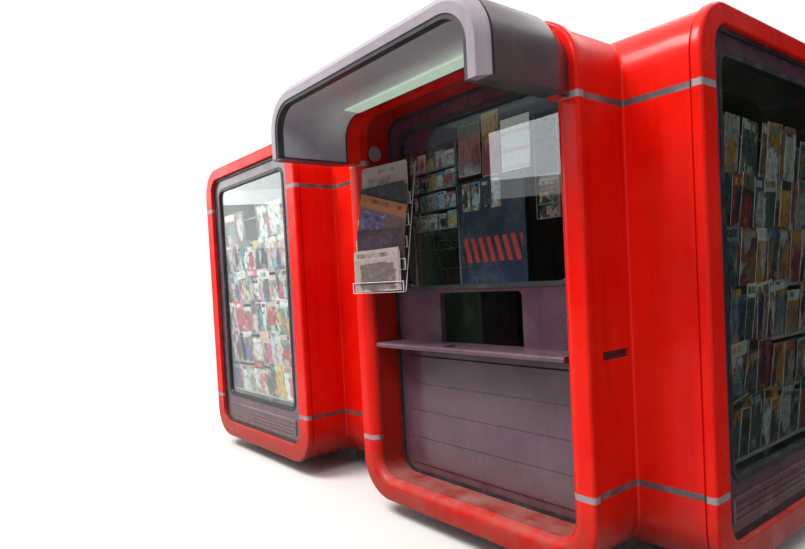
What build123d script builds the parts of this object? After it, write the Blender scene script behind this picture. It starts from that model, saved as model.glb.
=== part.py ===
from build123d import *
from math import asin, degrees
import os

# Street kiosk of two coupled room modules, moulded in glass-fibre polyester.
# Each module is two round-cornered tubes that cross at right angles and end in collars.
# Lengths are in millimetres. The origin is on the ground under the middle of the sales module.
# X runs to the right along the sales front, Y runs into the kiosk and Z points up.

# Modules in plan
module_length = 2400.0
coupling_gap = 20.0
tube_width = 1680.0

# Heights, stacked from the ground
plinth_height = 122.0
base_height = 362.0
wall_height = 1759.0
roof_height = 361.0
floor_thickness = 30.0

# Shell
tube_radius = 230.0
shell_wall = 40.0
inner_corner_radius = 12.0
collar_depth = 46.0
collar_proud = 12.0
collar_edge_radius = 16.0
collar_back_radius = 6.0
groove_width = 10.0
groove_depth = 8.0
joint_strip_height = 30.0
plinth_size = 1200.0
seal_inset = 15.0

# Rim around each opening
rim_depth = 70.0
rim_side = 130.0
rim_top = 95.0
rim_bottom = 135.0
opening_radius = 125.0
rim_edge_radius = 8.0
sales_rim_radius = 62.0

# Window units
window_recess = 35.0
rim_seal_width = 20.0
rim_seal_set_back = 12.0
frame_depth = 34.0
frame_band = 72.0
glass_seal_width = 26.0
glass_seal_proud = 5.0
glass_thickness = 8.0
glass_radius = 60.0
sill_band = 255.0
panel_side_margin = 96.0
panel_top_margin = 62.0
panel_foot_margin = 42.0
panel_proud = 9.0
panel_bevel = 7.0
rib_count = 3
rib_width = 7.0
rib_depth = 4.0

# Sales front
sales_recess = 240.0
liner_thickness = 15.0
hatch_width = 620.0
hatch_height = 300.0
hatch_radius = 30.0
counter_top = 1100.0
counter_thickness = 32.0
counter_reach = 205.0
counter_nose_radius = 14.0
counter_clearance = 3.0
transom_height = 45.0
cash_tray_length = 300.0
cash_tray_reach = 120.0
cash_tray_depth = 12.0
disc_diameter = 95.0
disc_thickness = 8.0
disc_edge_radius = 2.5
disc_from_rim = 118.0
disc_above_joint = 64.0

# Hood over the sales front
hood_reach = 573.0
hood_foot_above_joint = -9.0
hood_ring_depth = 46.0
hood_chamfer = 42.0
hood_face_width = 84.0
hood_skin = 55.0
hood_inset = 105.0
hood_seal_set_back = 5.0
hood_bead_width = 12.0
hood_bead_inset = 4.0
hood_skirt_length = 127.0
hood_skirt_taper = 41.0
hood_neck_length = 80.0
hood_back_seal_width = 9.0
hood_back_seal_proud = 4.0
lamp_end_gap = 45.0
lamp_width = 105.0
lamp_thickness = 10.0
lamp_edge_radius = 6.0
lamp_from_back = 22.0

# Display behind the sales glass; places are shares of the glass's width and height,
# in the order left, right, foot, head
display_board_thickness = 8.0
display_rail_height = 28.0
display_header_foot = 0.882
display_header_cover = 20.0
display_board_place = (0.375, 0.775, 0.0, 0.611)
display_picture_count = 4
display_picture_place = (0.405, 0.650, 0.433, 0.598)
display_picture_gap = 8.0
display_sheet_places = ((0.401, 0.537, 0.642, 0.945), (0.550, 0.649, 0.616, 0.976),
                        (0.661, 0.819, 0.616, 0.905))
display_print_thickness = 3.0
card_rack_place = (0.040, 0.365, 0.355, 0.860)
card_rows = 4
card_columns = 5
card_gap = 9.0
card_height_share = 0.86
card_ledge_thickness = 4.0
card_ledge_reach = 9.0
card_post_width = 8.0
pocket_rack_place = (0.831, 0.947, 0.330, 0.560)
pocket_rack_wire = 5.0
pocket_rack_rungs = 3
pocket_rack_depth = 26.0
pocket_paper_thickness = 14.0
pocket_paper_side_gap = 6.0

# Slot in the side of the sales arm
slot_length = 204.0
slot_height = 40.0
slot_depth = 22.0
slot_plate_thickness = 6.0
slot_plate_margin = 7.0
slot_above_joint = 616.0
slot_from_rim = 227.0

# Display racks behind the glass
rack_width = 1230.0
rack_behind_frame = 20.0
rack_post = 22.0
rack_rows = 6
rack_pitch = 268.0
rack_first_shelf = 300.0
ledge_thickness = 6.0
ledge_depth = 46.0
ledge_lip = 16.0
magazine_height = 235.0
magazine_thickness = 14.0
magazine_width = 190.0
magazine_gap = 12.0
magazine_lean = 26.0

# Newspaper rack on the left cheek of the sales front
paper_tiers = 5
paper_pitch = 130.0
paper_step = 28.0
paper_width = 365.0
paper_height = 250.0
paper_thickness = 12.0
paper_lean = 6.0
paper_side_gap = 3.0
rack_wire = 5.0
rack_turn = 15.0
rack_from_cheek = 22.0
rack_before_rim = 15.0
rack_below_joint = 300.0
rack_arm_reach = 75.0
rack_arm_tiers = (0, 2)
rack_pad_diameter = 24.0
pocket_depth = 24.0
pocket_lip = 60.0
pocket_floor = 3.0

# Door unit at the back
door_width = 860.0
door_proud = 10.0
door_radius = 60.0
door_foot_margin = 21.0
door_sight_width = 620.0
handle_length = 180.0
handle_diameter = 18.0
handle_stand_off = 45.0
handle_post_diameter = 12.0
handle_post_spacing = 120.0
handle_height = 1150.0
handle_from_edge = 60.0
hinge_height = 90.0
hinge_diameter = 20.0
hinge_count = 3

# Levels and lengths worked out from the sizes above
shell_foot = plinth_height
lower_joint = shell_foot + base_height
upper_joint = lower_joint + wall_height
shell_top = upper_joint + roof_height
collar_foot = shell_foot - collar_proud
collar_top = shell_top + collar_proud
collar_width = tube_width + 2 * collar_proud
rim_plane = -module_length / 2
opening_width = collar_width - 2 * rim_side
opening_foot = collar_foot + rim_bottom
opening_top = collar_top - rim_top
module_pitch = module_length + coupling_gap
sight_margin = rim_seal_width + frame_band + glass_seal_width
sight_width = opening_width - 2 * sight_margin
sight_top = opening_top - sight_margin
far = 2 * module_length

FRONT, RIGHT, BACK, LEFT = 0, 90, 180, 270


def place(shape, side, module):
    """Turn a piece made for the front to one side, and carry it to its module."""
    return Pos(module * module_pitch, 0, 0) * Rot(0, 0, side) * shape


def outline(width, low, high, radius, y):
    """Round-cornered outline across Y, at one place."""
    flat = Plane.XZ * Pos(0, (low + high) / 2) * RectangleRounded(width, high - low, radius)
    return Pos(0, y, 0) * flat


def bar(width, low, high, radius, start, end):
    """Round-cornered bar along Y, between two places."""
    return extrude(outline(width, low, high, radius, start), amount=end - start, dir=(0, 1, 0))


def crossing(width, low, high, radius, length):
    """Two equal bars that cross at right angles."""
    along_y = bar(width, low, high, radius, -length / 2, length / 2)
    return along_y + Rot(0, 0, 90) * along_y


def collar_outline(inset, y):
    """The collar's outline at one place, drawn in by an inset all round."""
    width = collar_width - 2 * inset
    radius = tube_radius + collar_proud - inset
    return outline(width, collar_foot + inset, collar_top - inset, radius, y)


def opening_outline(inset, y):
    """The outline of an opening at one place, drawn in by an inset all round."""
    width = opening_width - 2 * inset
    return outline(width, opening_foot + inset, opening_top - inset, opening_radius - inset, y)


def inset_bar(inset, start, end):
    """Bar with the collar's outline, drawn in by an inset all round."""
    return extrude(collar_outline(inset, start), amount=end - start, dir=(0, 1, 0))


def opening_bar(inset, start, end):
    """Bar with the outline of an opening, drawn in by an inset all round."""
    return extrude(opening_outline(inset, start), amount=end - start, dir=(0, 1, 0))


def slab(low, high):
    """Everything between two levels."""
    return Pos(0, 0, (low + high) / 2) * Box(far, far, high - low)


def block(width, depth, height, x, y, z):
    """Plain block, by its size and the middle of its foot."""
    return Pos(x, y, z + height / 2) * Box(width, depth, height)


def save(shape, name):
    """Write one named piece."""
    shape.label = name
    export_step(shape, f"parts/{name}.step")


# The moulded shell


def collar():
    """Collar at the front end of a tube, with rounded edges."""
    ring = inset_bar(0, rim_plane, rim_plane + collar_depth)
    ring = fillet(ring.faces().sort_by(Axis.Y)[0].edges(), collar_edge_radius)
    return fillet(ring.faces().sort_by(Axis.Y)[-1].edges(), collar_back_radius)


def groove():
    """Shadow groove between the front collar and its wall."""
    start = rim_plane + collar_depth
    outside = inset_bar(-collar_proud, start, start + groove_width)
    return outside - inset_bar(collar_proud + groove_depth, start, start + groove_width)


def module_shell(sales_side=None):
    """Whole shell of a module, before it is divided at the two joints."""
    body = crossing(tube_width, shell_foot, shell_top, tube_radius, module_length - collar_depth)
    upright = body.edges().filter_by(Axis.Z)
    corners = [e for e in upright if abs(abs(e.center().X) - abs(e.center().Y)) < 1
               and abs(abs(e.center().X) - tube_width / 2) < 1]
    body = fillet(corners, inner_corner_radius)
    for side in (FRONT, RIGHT, BACK, LEFT):
        body = body + Rot(0, 0, side) * collar()
        body = body - Rot(0, 0, side) * groove()
    inner_width = tube_width - 2 * shell_wall
    hollow = crossing(inner_width, shell_foot + shell_wall, shell_top - shell_wall,
                      tube_radius - shell_wall, module_length - 2 * rim_depth)
    through = opening_bar(0, rim_plane, -rim_plane)
    body = body - (hollow + through + Rot(0, 0, 90) * through)
    for side in (FRONT, RIGHT, BACK, LEFT):
        turned = Rot(0, 0, -side) * body
        rim_face = turned.faces().filter_by(Plane.XZ).sort_by(Axis.Y)[0]
        radius = sales_rim_radius if side == sales_side else rim_edge_radius
        turned = fillet(rim_face.inner_wires()[0].edges(), radius)
        body = Rot(0, 0, side) * turned
    return body


def divide(shell):
    """Base, walls, roof and joint strips of one module."""
    half = joint_strip_height / 2
    base = shell & slab(0, lower_joint - half)
    walls = shell & slab(lower_joint + half, upper_joint - half)
    roof = shell & slab(upper_joint + half, shell_top + far)
    strips = (shell & slab(lower_joint - half, lower_joint + half)) \
        + (shell & slab(upper_joint - half, upper_joint + half))
    return base, walls, roof, strips


def room_floor():
    """Floor that rests on the curved foot of the walls, level with the thresholds."""
    room = crossing(tube_width - 2 * shell_wall, shell_foot + shell_wall, shell_top - shell_wall,
                    tube_radius - shell_wall, module_length - 2 * rim_depth)
    return room & slab(opening_foot - floor_thickness, opening_foot)


def plinth():
    """Set-back footing under the flat of the shell."""
    return block(plinth_size, plinth_size, plinth_height, 0, 0, 0)


def coupling_seal():
    """Ring that closes the gap between the two modules."""
    ring = inset_bar(seal_inset, -coupling_gap / 2, coupling_gap / 2)
    ring = ring - opening_bar(0, -coupling_gap / 2, coupling_gap / 2)
    return Pos(-module_pitch / 2, 0, 0) * Rot(0, 0, 90) * ring


# Window units, made for the front side


def sight(inset, start, end, low):
    """Bar with the outline of a glass pane, grown outward by a negative inset."""
    width = sight_width - 2 * inset
    return bar(width, low + inset, sight_top - inset, glass_radius - inset, start, end)


def rim_seal(recess):
    """Rubber ring between the opening and the frame."""
    start = rim_plane + recess - rim_seal_set_back
    end = rim_plane + recess + frame_depth
    return opening_bar(0, start, end) - opening_bar(rim_seal_width, start, end)


def frame_plate(recess, glass_low):
    """Frame with its solid sill, open at the glass."""
    start = rim_plane + recess
    end = start + frame_depth
    return opening_bar(rim_seal_width, start, end) - sight(-glass_seal_width, start, end, glass_low)


def glass_seal(recess, glass_low):
    """Rubber ring between the frame and the glass."""
    start = rim_plane + recess - glass_seal_proud
    end = rim_plane + recess + frame_depth
    return sight(-glass_seal_width, start, end, glass_low) - sight(0, start, end, glass_low)


def pane(recess, glass_low):
    """Glass pane in the middle of the frame's depth."""
    start = rim_plane + recess + (frame_depth - glass_thickness) / 2
    return sight(0, start, start + glass_thickness, glass_low)


def sill_panel(recess, width, top):
    """Raised panel under the glass, with a bevelled edge and sunk ribs."""
    foot = opening_foot + rim_seal_width + panel_foot_margin
    face = rim_plane + recess
    panel = block(width, panel_proud, top - foot, 0, face - panel_proud / 2, foot)
    panel = chamfer(panel.faces().sort_by(Axis.Y)[0].edges(), panel_bevel)
    pitch = (top - foot) / (rib_count + 1)
    for n in range(rib_count):
        level = foot + pitch * (n + 1) - rib_width / 2
        cut_width = width - 2 * panel_bevel
        panel = panel - block(cut_width, 2 * rib_depth, rib_width, 0, face - panel_proud, level)
    return panel


def display_window():
    """Frame, glass, seals and sill panel of a display window."""
    glass_low = opening_foot + rim_seal_width + sill_band
    panel_top = glass_low - glass_seal_width - panel_top_margin
    panel_width = opening_width - 2 * panel_side_margin
    seals = rim_seal(window_recess) + glass_seal(window_recess, glass_low)
    return {
        "frame": frame_plate(window_recess, glass_low),
        "glass": pane(window_recess, glass_low),
        "seals": seals,
        "sill_panel": sill_panel(window_recess, panel_width, panel_top),
    }


# Display racks, made for the front side


def rack_shelf_level(row):
    """Level of one ledge of a display rack."""
    return opening_foot + rack_first_shelf + row * rack_pitch


def rack_back():
    """Place of a rack's back, behind the frame."""
    return rim_plane + window_recess + frame_depth + rack_behind_frame + ledge_depth + rack_post


def display_rack():
    """Rack of two side posts, back rails and lipped ledges that stands on the floor."""
    back = rack_back()
    top = rack_shelf_level(rack_rows - 1) + magazine_height
    height = top - opening_foot
    rack = None
    for x in (-(rack_width - rack_post) / 2, 0, (rack_width - rack_post) / 2):
        post = block(rack_post, rack_post, height, x, back - rack_post / 2, opening_foot)
        rack = post if rack is None else rack + post
    for row in range(rack_rows):
        level = rack_shelf_level(row)
        reach = ledge_depth + rack_post
        ledge = block(rack_width, reach, ledge_thickness, 0, back - reach / 2, level)
        lip = block(rack_width, ledge_thickness, ledge_lip, 0, back - reach + ledge_thickness / 2, level)
        rail_level = level + magazine_height - ledge_lip
        rail = block(rack_width, ledge_thickness, ledge_lip, 0,
                     back - rack_post + ledge_thickness / 2, rail_level)
        rack = rack + ledge + lip + rail
    return rack


def leaning(width, thickness, height, run):
    """Block that stands on its back edge at the origin and leans back by a run at its head."""
    return Rot(-degrees(asin(run / height)), 0, 0) * block(width, thickness, height, 0, -thickness / 2, 0)


def display_magazines():
    """Magazines that stand on the ledges of a display rack and lean on its rails."""
    foot = rack_back() - rack_post - magazine_lean
    pitch = magazine_width + magazine_gap
    across = int((rack_width - 2 * rack_post) // pitch)
    stock = []
    for row in range(rack_rows):
        level = rack_shelf_level(row) + ledge_thickness
        for n in range(across):
            x = (n - (across - 1) / 2) * pitch
            magazine = leaning(magazine_width, magazine_thickness, magazine_height, magazine_lean)
            stock.append(Pos(x, foot, level) * magazine)
    return Compound(children=stock)


# Sales front


def liner_space():
    """Everything inside the outer face of the sales front's liner."""
    return opening_bar(-liner_thickness, rim_plane + rim_depth, rim_plane + sales_recess + frame_depth)


def sales_liner():
    """Cheeks and soffit that lead from the rim back to the sales window."""
    return liner_space() - opening_bar(0, rim_plane, rim_plane + sales_recess + frame_depth)


def sales_glass_low():
    """Foot of the sales window's glass, above the hatch and its transom."""
    return counter_top + hatch_height + transom_height


def sales_window():
    """Frame, glass, seals and sill panel of the sales window, with its open hatch."""
    low = sales_glass_low()
    start = rim_plane + sales_recess
    hatch = bar(hatch_width, counter_top, counter_top + hatch_height, hatch_radius,
                start, start + frame_depth)
    hatch = hatch + block(hatch_width, frame_depth, hatch_radius, 0, start + frame_depth / 2, counter_top)
    panel_width = opening_width - 2 * panel_side_margin
    panel_top = counter_top - counter_thickness - panel_top_margin
    return {
        "frame": frame_plate(sales_recess, low) - hatch,
        "glass": pane(sales_recess, low),
        "seals": rim_seal(sales_recess) + glass_seal(sales_recess, low),
        "sill_panel": sill_panel(sales_recess, panel_width, panel_top),
    }


def sales_counter():
    """Counter board in front of the hatch, with a shallow tray for coins."""
    back = rim_plane + sales_recess
    width = opening_width - 2 * (rim_seal_width + counter_clearance)
    foot = counter_top - counter_thickness
    board = block(width, counter_reach, counter_thickness, 0, back - counter_reach / 2, foot)
    nose = board.faces().sort_by(Axis.Y)[0].edges().filter_by(Axis.X)
    board = fillet(nose, counter_nose_radius)
    tray = block(cash_tray_length, cash_tray_reach, 2 * cash_tray_depth, 0,
                 back - counter_reach / 2, counter_top - cash_tray_depth)
    tray = fillet(tray.edges().filter_by(Axis.Z), cash_tray_depth)
    return board - tray


def cheek_disc():
    """Round cover on the left cheek."""
    centre = Pos(-opening_width / 2 + disc_thickness / 2, rim_plane + disc_from_rim,
                 upper_joint + disc_above_joint)
    disc = Rot(0, 90, 0) * Cylinder(disc_diameter / 2, disc_thickness)
    disc = centre * disc
    return fillet(disc.faces().sort_by(Axis.X)[-1].edges(), disc_edge_radius)


def arm_slot():
    """Cut for the slot in the right wall of the sales arm."""
    return block(2 * slot_depth, slot_length, slot_height, tube_width / 2,
                 rim_plane + slot_from_rim, lower_joint + slot_above_joint - slot_height / 2)


def slot_plate():
    """Dark plate with a narrow mouth, let into the slot."""
    back = tube_width / 2 - slot_depth
    foot = lower_joint + slot_above_joint - slot_height / 2
    plate = block(slot_plate_thickness, slot_length, slot_height, back + slot_plate_thickness / 2,
                  rim_plane + slot_from_rim, foot)
    mouth = block(slot_plate_thickness, slot_length - 2 * slot_plate_margin,
                  slot_height - 4 * slot_plate_margin, back + slot_plate_thickness / 2,
                  rim_plane + slot_from_rim, foot + 2 * slot_plate_margin)
    return plate - mouth


# Display behind the sales glass


def display_front():
    """Back of the sales window's frame, where the display is fixed."""
    return rim_plane + sales_recess + frame_depth


def behind_glass(place_shares, start, end):
    """Block behind the sales glass, placed by shares of the glass."""
    left, right, foot, head = place_shares
    low = sales_glass_low()
    width = (right - left) * sight_width
    height = (head - foot) * (sight_top - low)
    x = ((left + right) / 2 - 1 / 2) * sight_width
    return block(width, end - start, height, x, (start + end) / 2, low + foot * (sight_top - low))


def cells(place_shares, columns, rows, gap, height_share=1.0):
    """Even places in a larger place, a row at a time, all in shares of the glass."""
    left, right, foot, head = place_shares
    width, height = (right - left) / columns, (head - foot) / rows
    half_gap = gap / 2 / sight_width
    for row in range(rows):
        for column in range(columns):
            start = left + column * width
            level = foot + row * height
            yield (start + half_gap, start + width - half_gap, level, level + height * height_share)


def sales_board():
    """Header across the head of the sales glass, and a board that stands on the rail."""
    back = display_front()
    width = opening_width - 2 * rim_seal_width
    low = sales_glass_low()
    foot = low + display_header_foot * (sight_top - low)
    header = block(width, display_board_thickness, sight_top + display_header_cover - foot, 0,
                   back + display_board_thickness / 2, foot)
    board = behind_glass(display_board_place, back, back + display_board_thickness)
    return Compound(children=[header, board])


def sales_card_rack():
    """Rail behind the foot of the sales glass, with the card ledges and a wire pocket."""
    back = display_front()
    low = sales_glass_low()
    width = opening_width - 2 * rim_seal_width
    rack = block(width, display_board_thickness, display_rail_height, 0,
                 back + display_board_thickness / 2, low - display_rail_height)
    post_foot = low - display_rail_height
    for share in card_rack_place[:2]:
        x = (share - 1 / 2) * sight_width
        rack = rack + block(card_post_width, display_board_thickness, sight_top - post_foot, x,
                            back + 3 * display_board_thickness / 2, post_foot)
    thickness = card_ledge_thickness / (sight_top - low)
    for start, end, level, _ in cells(card_rack_place, 1, card_rows, -card_post_width):
        ledge = behind_glass((start, end, level - thickness, level),
                             back - card_ledge_reach, back + 2 * display_board_thickness)
        rack = rack + ledge
    return rack + wire_pocket()


def wire_pocket():
    """Narrow wire pocket that hangs on two wires from the header."""
    left, right, foot, head = pocket_rack_place
    low = sales_glass_low()
    start = low + foot * (sight_top - low)
    middle = display_front() + display_board_thickness + pocket_rack_wire / 2
    pieces = None
    for share in (left, right):
        x = (share - 1 / 2) * sight_width
        wire = Pos(x, middle, (start + sight_top) / 2)
        wire = wire * Cylinder(pocket_rack_wire / 2, sight_top - start)
        pieces = wire if pieces is None else pieces + wire
    lift = pocket_rack_wire / (sight_top - low)
    ledge = behind_glass((left, right, foot, foot + lift), middle, middle + pocket_rack_depth)
    x = ((left + right) / 2 - 1 / 2) * sight_width
    span = (right - left) * sight_width
    for n in range(1, pocket_rack_rungs + 1):
        level = start + n / pocket_rack_rungs * (head - foot) * (sight_top - low)
        pieces = pieces + Pos(x, middle, level) * Rot(0, 90, 0) * Cylinder(pocket_rack_wire / 2, span)
    return pieces + ledge


def sales_prints():
    """Cards on the ledges, posters on the header, pictures on the board and papers in the pocket."""
    back = display_front()
    front = back - display_print_thickness
    flat = [behind_glass(cell, front, back)
            for cell in cells(card_rack_place, card_columns, card_rows, card_gap, card_height_share)]
    flat += [behind_glass(sheet, front, back) for sheet in display_sheet_places]
    flat += [behind_glass(cell, front, back)
             for cell in cells(display_picture_place, display_picture_count, 1, display_picture_gap)]
    left, right, foot, head = pocket_rack_place
    side = pocket_paper_side_gap / sight_width
    lift = pocket_rack_wire / (sight_top - sales_glass_low())
    start = back + display_board_thickness + pocket_rack_wire
    flat.append(behind_glass((left + side, right - side, foot + lift, head),
                             start, start + pocket_paper_thickness))
    return Compound(children=flat)


# Newspaper rack


def on_left_cheek(shape):
    """Turn a piece made at the rack's upper left corner, and hang it before the left cheek."""
    x = -opening_width / 2 + rack_from_cheek
    corner = Pos(x, rim_plane - rack_before_rim, upper_joint - rack_below_joint)
    return corner * Rot(0, 0, rack_turn) * shape


def tier(n):
    """Place of one tier of the rack: each stands lower and further forward than the last."""
    return Pos(0, -n * paper_step, -n * paper_pitch)


def pocket(span):
    """Open pocket with a narrow floor and a wire front."""
    middle = span / 2
    pieces = block(span + rack_wire, pocket_depth, pocket_floor, middle, -pocket_depth / 2, -pocket_floor)
    front = Pos(middle, rack_wire / 2 - pocket_depth, pocket_lip)
    pieces = pieces + front * Rot(0, 90, 0) * Cylinder(rack_wire / 2, span + rack_wire)
    for x in (0, span):
        pieces = pieces + block(rack_wire, rack_wire, pocket_lip, x, rack_wire / 2 - pocket_depth, 0)
    return pieces


def newspaper_rack():
    """Stepped wire rack with one pocket to a tier, held to the cheek by two arms."""
    span = paper_width + 2 * paper_side_gap + rack_wire
    slope = paper_step / paper_pitch
    drop = (paper_tiers - 1) * paper_pitch
    head = Vector(0, slope * paper_height, paper_height)
    foot = Vector(0, -slope * drop, -drop)
    upright = Plane(head, z_dir=foot - head) * Pos(0, 0, (foot - head).length / 2) \
        * Cylinder(rack_wire / 2, (foot - head).length)
    rack = upright + Pos(span, 0, 0) * upright
    for n in range(paper_tiers):
        rack = rack + tier(n) * pocket(span)
    rack = on_left_cheek(rack)
    for n in rack_arm_tiers:
        start = on_left_cheek(tier(n)).position
        end = rim_plane + rack_arm_reach
        reach = end - start.Y
        arm = Pos(start.X, start.Y + reach / 2, start.Z) * Rot(90, 0, 0) * Cylinder(rack_wire / 2, reach)
        gap = start.X + opening_width / 2
        pad = Pos(start.X - gap / 2, end, start.Z) * Rot(0, 90, 0) * Cylinder(rack_pad_diameter / 2, gap)
        rack = rack + arm + pad
    return rack


def newspapers():
    """Folded newspapers that lean back in their pockets, one bundle to a tier."""
    x = rack_wire / 2 + paper_side_gap + paper_width / 2
    bundle = Pos(x, -paper_lean, 0) * leaning(paper_width, paper_thickness, paper_height, paper_lean)
    return Compound(children=[on_left_cheek(tier(n) * bundle) for n in range(paper_tiers)])


# Hood


def above_hood_foot(shape):
    """Keep what lies above the foot of the hood's legs."""
    return shape & slab(upper_joint + hood_foot_above_joint, shell_top + far)


def hood():
    """Skin, front ring, lining, neck, seals and lamp of the hood."""
    front = rim_plane - hood_reach
    ring_end = front + hood_ring_depth
    skin_end = rim_plane - hood_skirt_length
    lining_end = rim_plane - hood_neck_length
    ring = inset_bar(0, front, ring_end)
    ring = chamfer(ring.faces().sort_by(Axis.Y)[0].edges(), hood_chamfer)
    ring = ring - inset_bar(hood_face_width, front, ring_end)
    skin_start = ring_end + hood_bead_width
    skin = inset_bar(0, skin_start, skin_end) - inset_bar(hood_skin, skin_start, skin_end)
    bead = inset_bar(hood_bead_inset, ring_end, skin_start) - inset_bar(hood_skin, ring_end, skin_start)
    seal_start = front + hood_seal_set_back
    face_seal = inset_bar(hood_face_width, seal_start, ring_end) \
        - inset_bar(hood_inset, seal_start, ring_end)
    seal_end = lining_end - hood_back_seal_width
    lining = inset_bar(hood_skin, ring_end, seal_end) - inset_bar(hood_inset, ring_end, seal_end)
    foot = upper_joint + hood_foot_above_joint
    above_foot_seal = slab(foot + hood_back_seal_width, shell_top + far)
    foot_seal = inset_bar(hood_skin, ring_end, seal_end) \
        - inset_bar(hood_inset + hood_back_seal_proud, ring_end, seal_end) - above_foot_seal
    back_seal = inset_bar(hood_skin, seal_end, lining_end) \
        - inset_bar(hood_inset + hood_back_seal_proud, seal_end, lining_end)
    throat = loft([collar_outline(hood_inset, lining_end), opening_outline(0, rim_plane)])
    neck = inset_bar(hood_skin, lining_end, rim_plane) - throat
    skirt = loft([collar_outline(0, skin_end), collar_outline(hood_skirt_taper, rim_plane)])
    skirt = skirt - inset_bar(hood_skin, skin_end, rim_plane)
    return {
        "front_ring": above_hood_foot(ring),
        "skin": above_hood_foot(skin),
        "lining": lining & above_foot_seal,
        "neck": above_hood_foot(neck),
        "seals": above_hood_foot(bead + face_seal + foot_seal + back_seal),
        "skirt": above_hood_foot(skirt),
        "lamp": hood_lamp(),
    }


def hood_lamp():
    """Flat diffuser on the level part of the hood's ceiling, near its back."""
    level_width = collar_width - 2 * (tube_radius + collar_proud)
    y = rim_plane - hood_neck_length - lamp_from_back - lamp_width / 2
    lamp = block(level_width - 2 * lamp_end_gap, lamp_width, lamp_thickness, 0, y,
                 collar_top - hood_inset - lamp_thickness)
    return fillet(lamp.faces().sort_by(Axis.Z)[0].edges(), lamp_edge_radius)


# Door unit at the back


def door_bar(inset, start, end):
    """Bar with the outline of the door leaf, drawn in by an inset."""
    low = opening_foot + rim_seal_width + door_foot_margin
    high = opening_top - rim_seal_width - frame_band
    return bar(door_width - 2 * inset, low + inset, high - inset, door_radius - inset, start, end)


def door_unit():
    """Frame, leaf, glass, sill panel, seals, handle and hinges of the door."""
    start = rim_plane + window_recess
    end = start + frame_depth
    frame = opening_bar(rim_seal_width, start, end) - door_bar(0, start, end)
    glass_low = opening_foot + rim_seal_width + sill_band
    glass_high = opening_top - rim_seal_width - 2 * frame_band
    sight_bar = bar(door_sight_width, glass_low, glass_high, glass_radius, start - door_proud, end)
    seal_bar = bar(door_sight_width + 2 * glass_seal_width, glass_low - glass_seal_width,
                   glass_high + glass_seal_width, glass_radius + glass_seal_width,
                   start - door_proud, end)
    leaf = door_bar(glass_thickness, start - door_proud, end) - seal_bar
    leaf_seal = door_bar(0, start, end) - door_bar(glass_thickness, start, end)
    glass_mid = start + (frame_depth - glass_thickness) / 2
    glass = sight_bar & block(far, glass_thickness, far, 0, glass_mid + glass_thickness / 2, 0)
    panel_top = glass_low - glass_seal_width - panel_top_margin
    panel = sill_panel(window_recess - door_proud, door_sight_width, panel_top)
    edge = door_width / 2 - glass_thickness
    handle_x = edge - handle_from_edge
    face = start - door_proud
    grip = Pos(handle_x, face - handle_stand_off, handle_height) \
        * Cylinder(handle_diameter / 2, handle_length)
    for level in (-handle_post_spacing / 2, handle_post_spacing / 2):
        post = Pos(handle_x, face - handle_stand_off / 2, handle_height + level) \
            * Rot(90, 0, 0) * Cylinder(handle_post_diameter / 2, handle_stand_off)
        grip = grip + post
    span = opening_top - opening_foot - 2 * opening_radius - 2 * hinge_height
    hinges = []
    for n in range(hinge_count):
        level = opening_foot + opening_radius + hinge_height + span * n / (hinge_count - 1)
        barrel = Pos(-door_width / 2 + glass_thickness / 2, face - hinge_diameter / 2, level) \
            * Cylinder(hinge_diameter / 2, hinge_height)
        hinges.append(barrel)
    return {
        "frame": frame,
        "leaf": leaf,
        "glass": glass,
        "seals": rim_seal(window_recess) + leaf_seal + (seal_bar - sight_bar),
        "sill_panel": panel,
        "handle": grip,
        "hinges": Compound(children=hinges),
    }


# The whole kiosk

os.makedirs("parts", exist_ok=True)

RIGHT_MODULE, LEFT_MODULE = 0, -1
sales_shell = module_shell(sales_side=FRONT) - arm_slot()
plain_shell = module_shell()

for module, prefix, shell in ((RIGHT_MODULE, "right", sales_shell), (LEFT_MODULE, "left", plain_shell)):
    base, walls, _, strips = divide(shell)
    roof = divide(plain_shell)[2]
    save(place(base, FRONT, module), f"{prefix}_base_shell")
    save(place(walls, FRONT, module), f"{prefix}_corner_walls")
    save(place(roof, FRONT, module), f"{prefix}_roof_shell")
    save(place(strips, FRONT, module), f"{prefix}_joint_strips")
    boards = room_floor() - liner_space() if module == RIGHT_MODULE else room_floor()
    save(place(boards, FRONT, module), f"{prefix}_floor")
    save(place(plinth(), FRONT, module), f"{prefix}_plinth")

save(coupling_seal(), "coupling_seal")

for name, side, module in (
    ("right_end_window", RIGHT, RIGHT_MODULE),
    ("left_front_window", FRONT, LEFT_MODULE),
    ("left_end_window", LEFT, LEFT_MODULE),
    ("left_back_window", BACK, LEFT_MODULE),
):
    for piece, shape in display_window().items():
        save(place(shape, side, module), f"{name}_{piece}")

for name, side, module in (("right_end", RIGHT, RIGHT_MODULE), ("left_front", FRONT, LEFT_MODULE)):
    save(place(display_rack(), side, module), f"{name}_rack")
    save(place(display_magazines(), side, module), f"{name}_magazines")

for piece, shape in sales_window().items():
    save(place(shape, FRONT, RIGHT_MODULE), f"sales_window_{piece}")
save(place(sales_liner(), FRONT, RIGHT_MODULE), "sales_liner")
save(place(sales_counter(), FRONT, RIGHT_MODULE), "sales_counter")
save(place(sales_board(), FRONT, RIGHT_MODULE), "sales_board")
save(place(sales_card_rack(), FRONT, RIGHT_MODULE), "sales_card_rack")
save(place(sales_prints(), FRONT, RIGHT_MODULE), "sales_prints")
save(place(cheek_disc(), FRONT, RIGHT_MODULE), "cheek_disc")
save(place(slot_plate(), FRONT, RIGHT_MODULE), "slot_plate")
save(place(newspaper_rack(), FRONT, RIGHT_MODULE), "newspaper_rack")
save(place(newspapers(), FRONT, RIGHT_MODULE), "newspapers")

for piece, shape in hood().items():
    save(place(shape, FRONT, RIGHT_MODULE), f"hood_{piece}")

for piece, shape in door_unit().items():
    save(place(shape, BACK, RIGHT_MODULE), f"door_{piece}")
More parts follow.
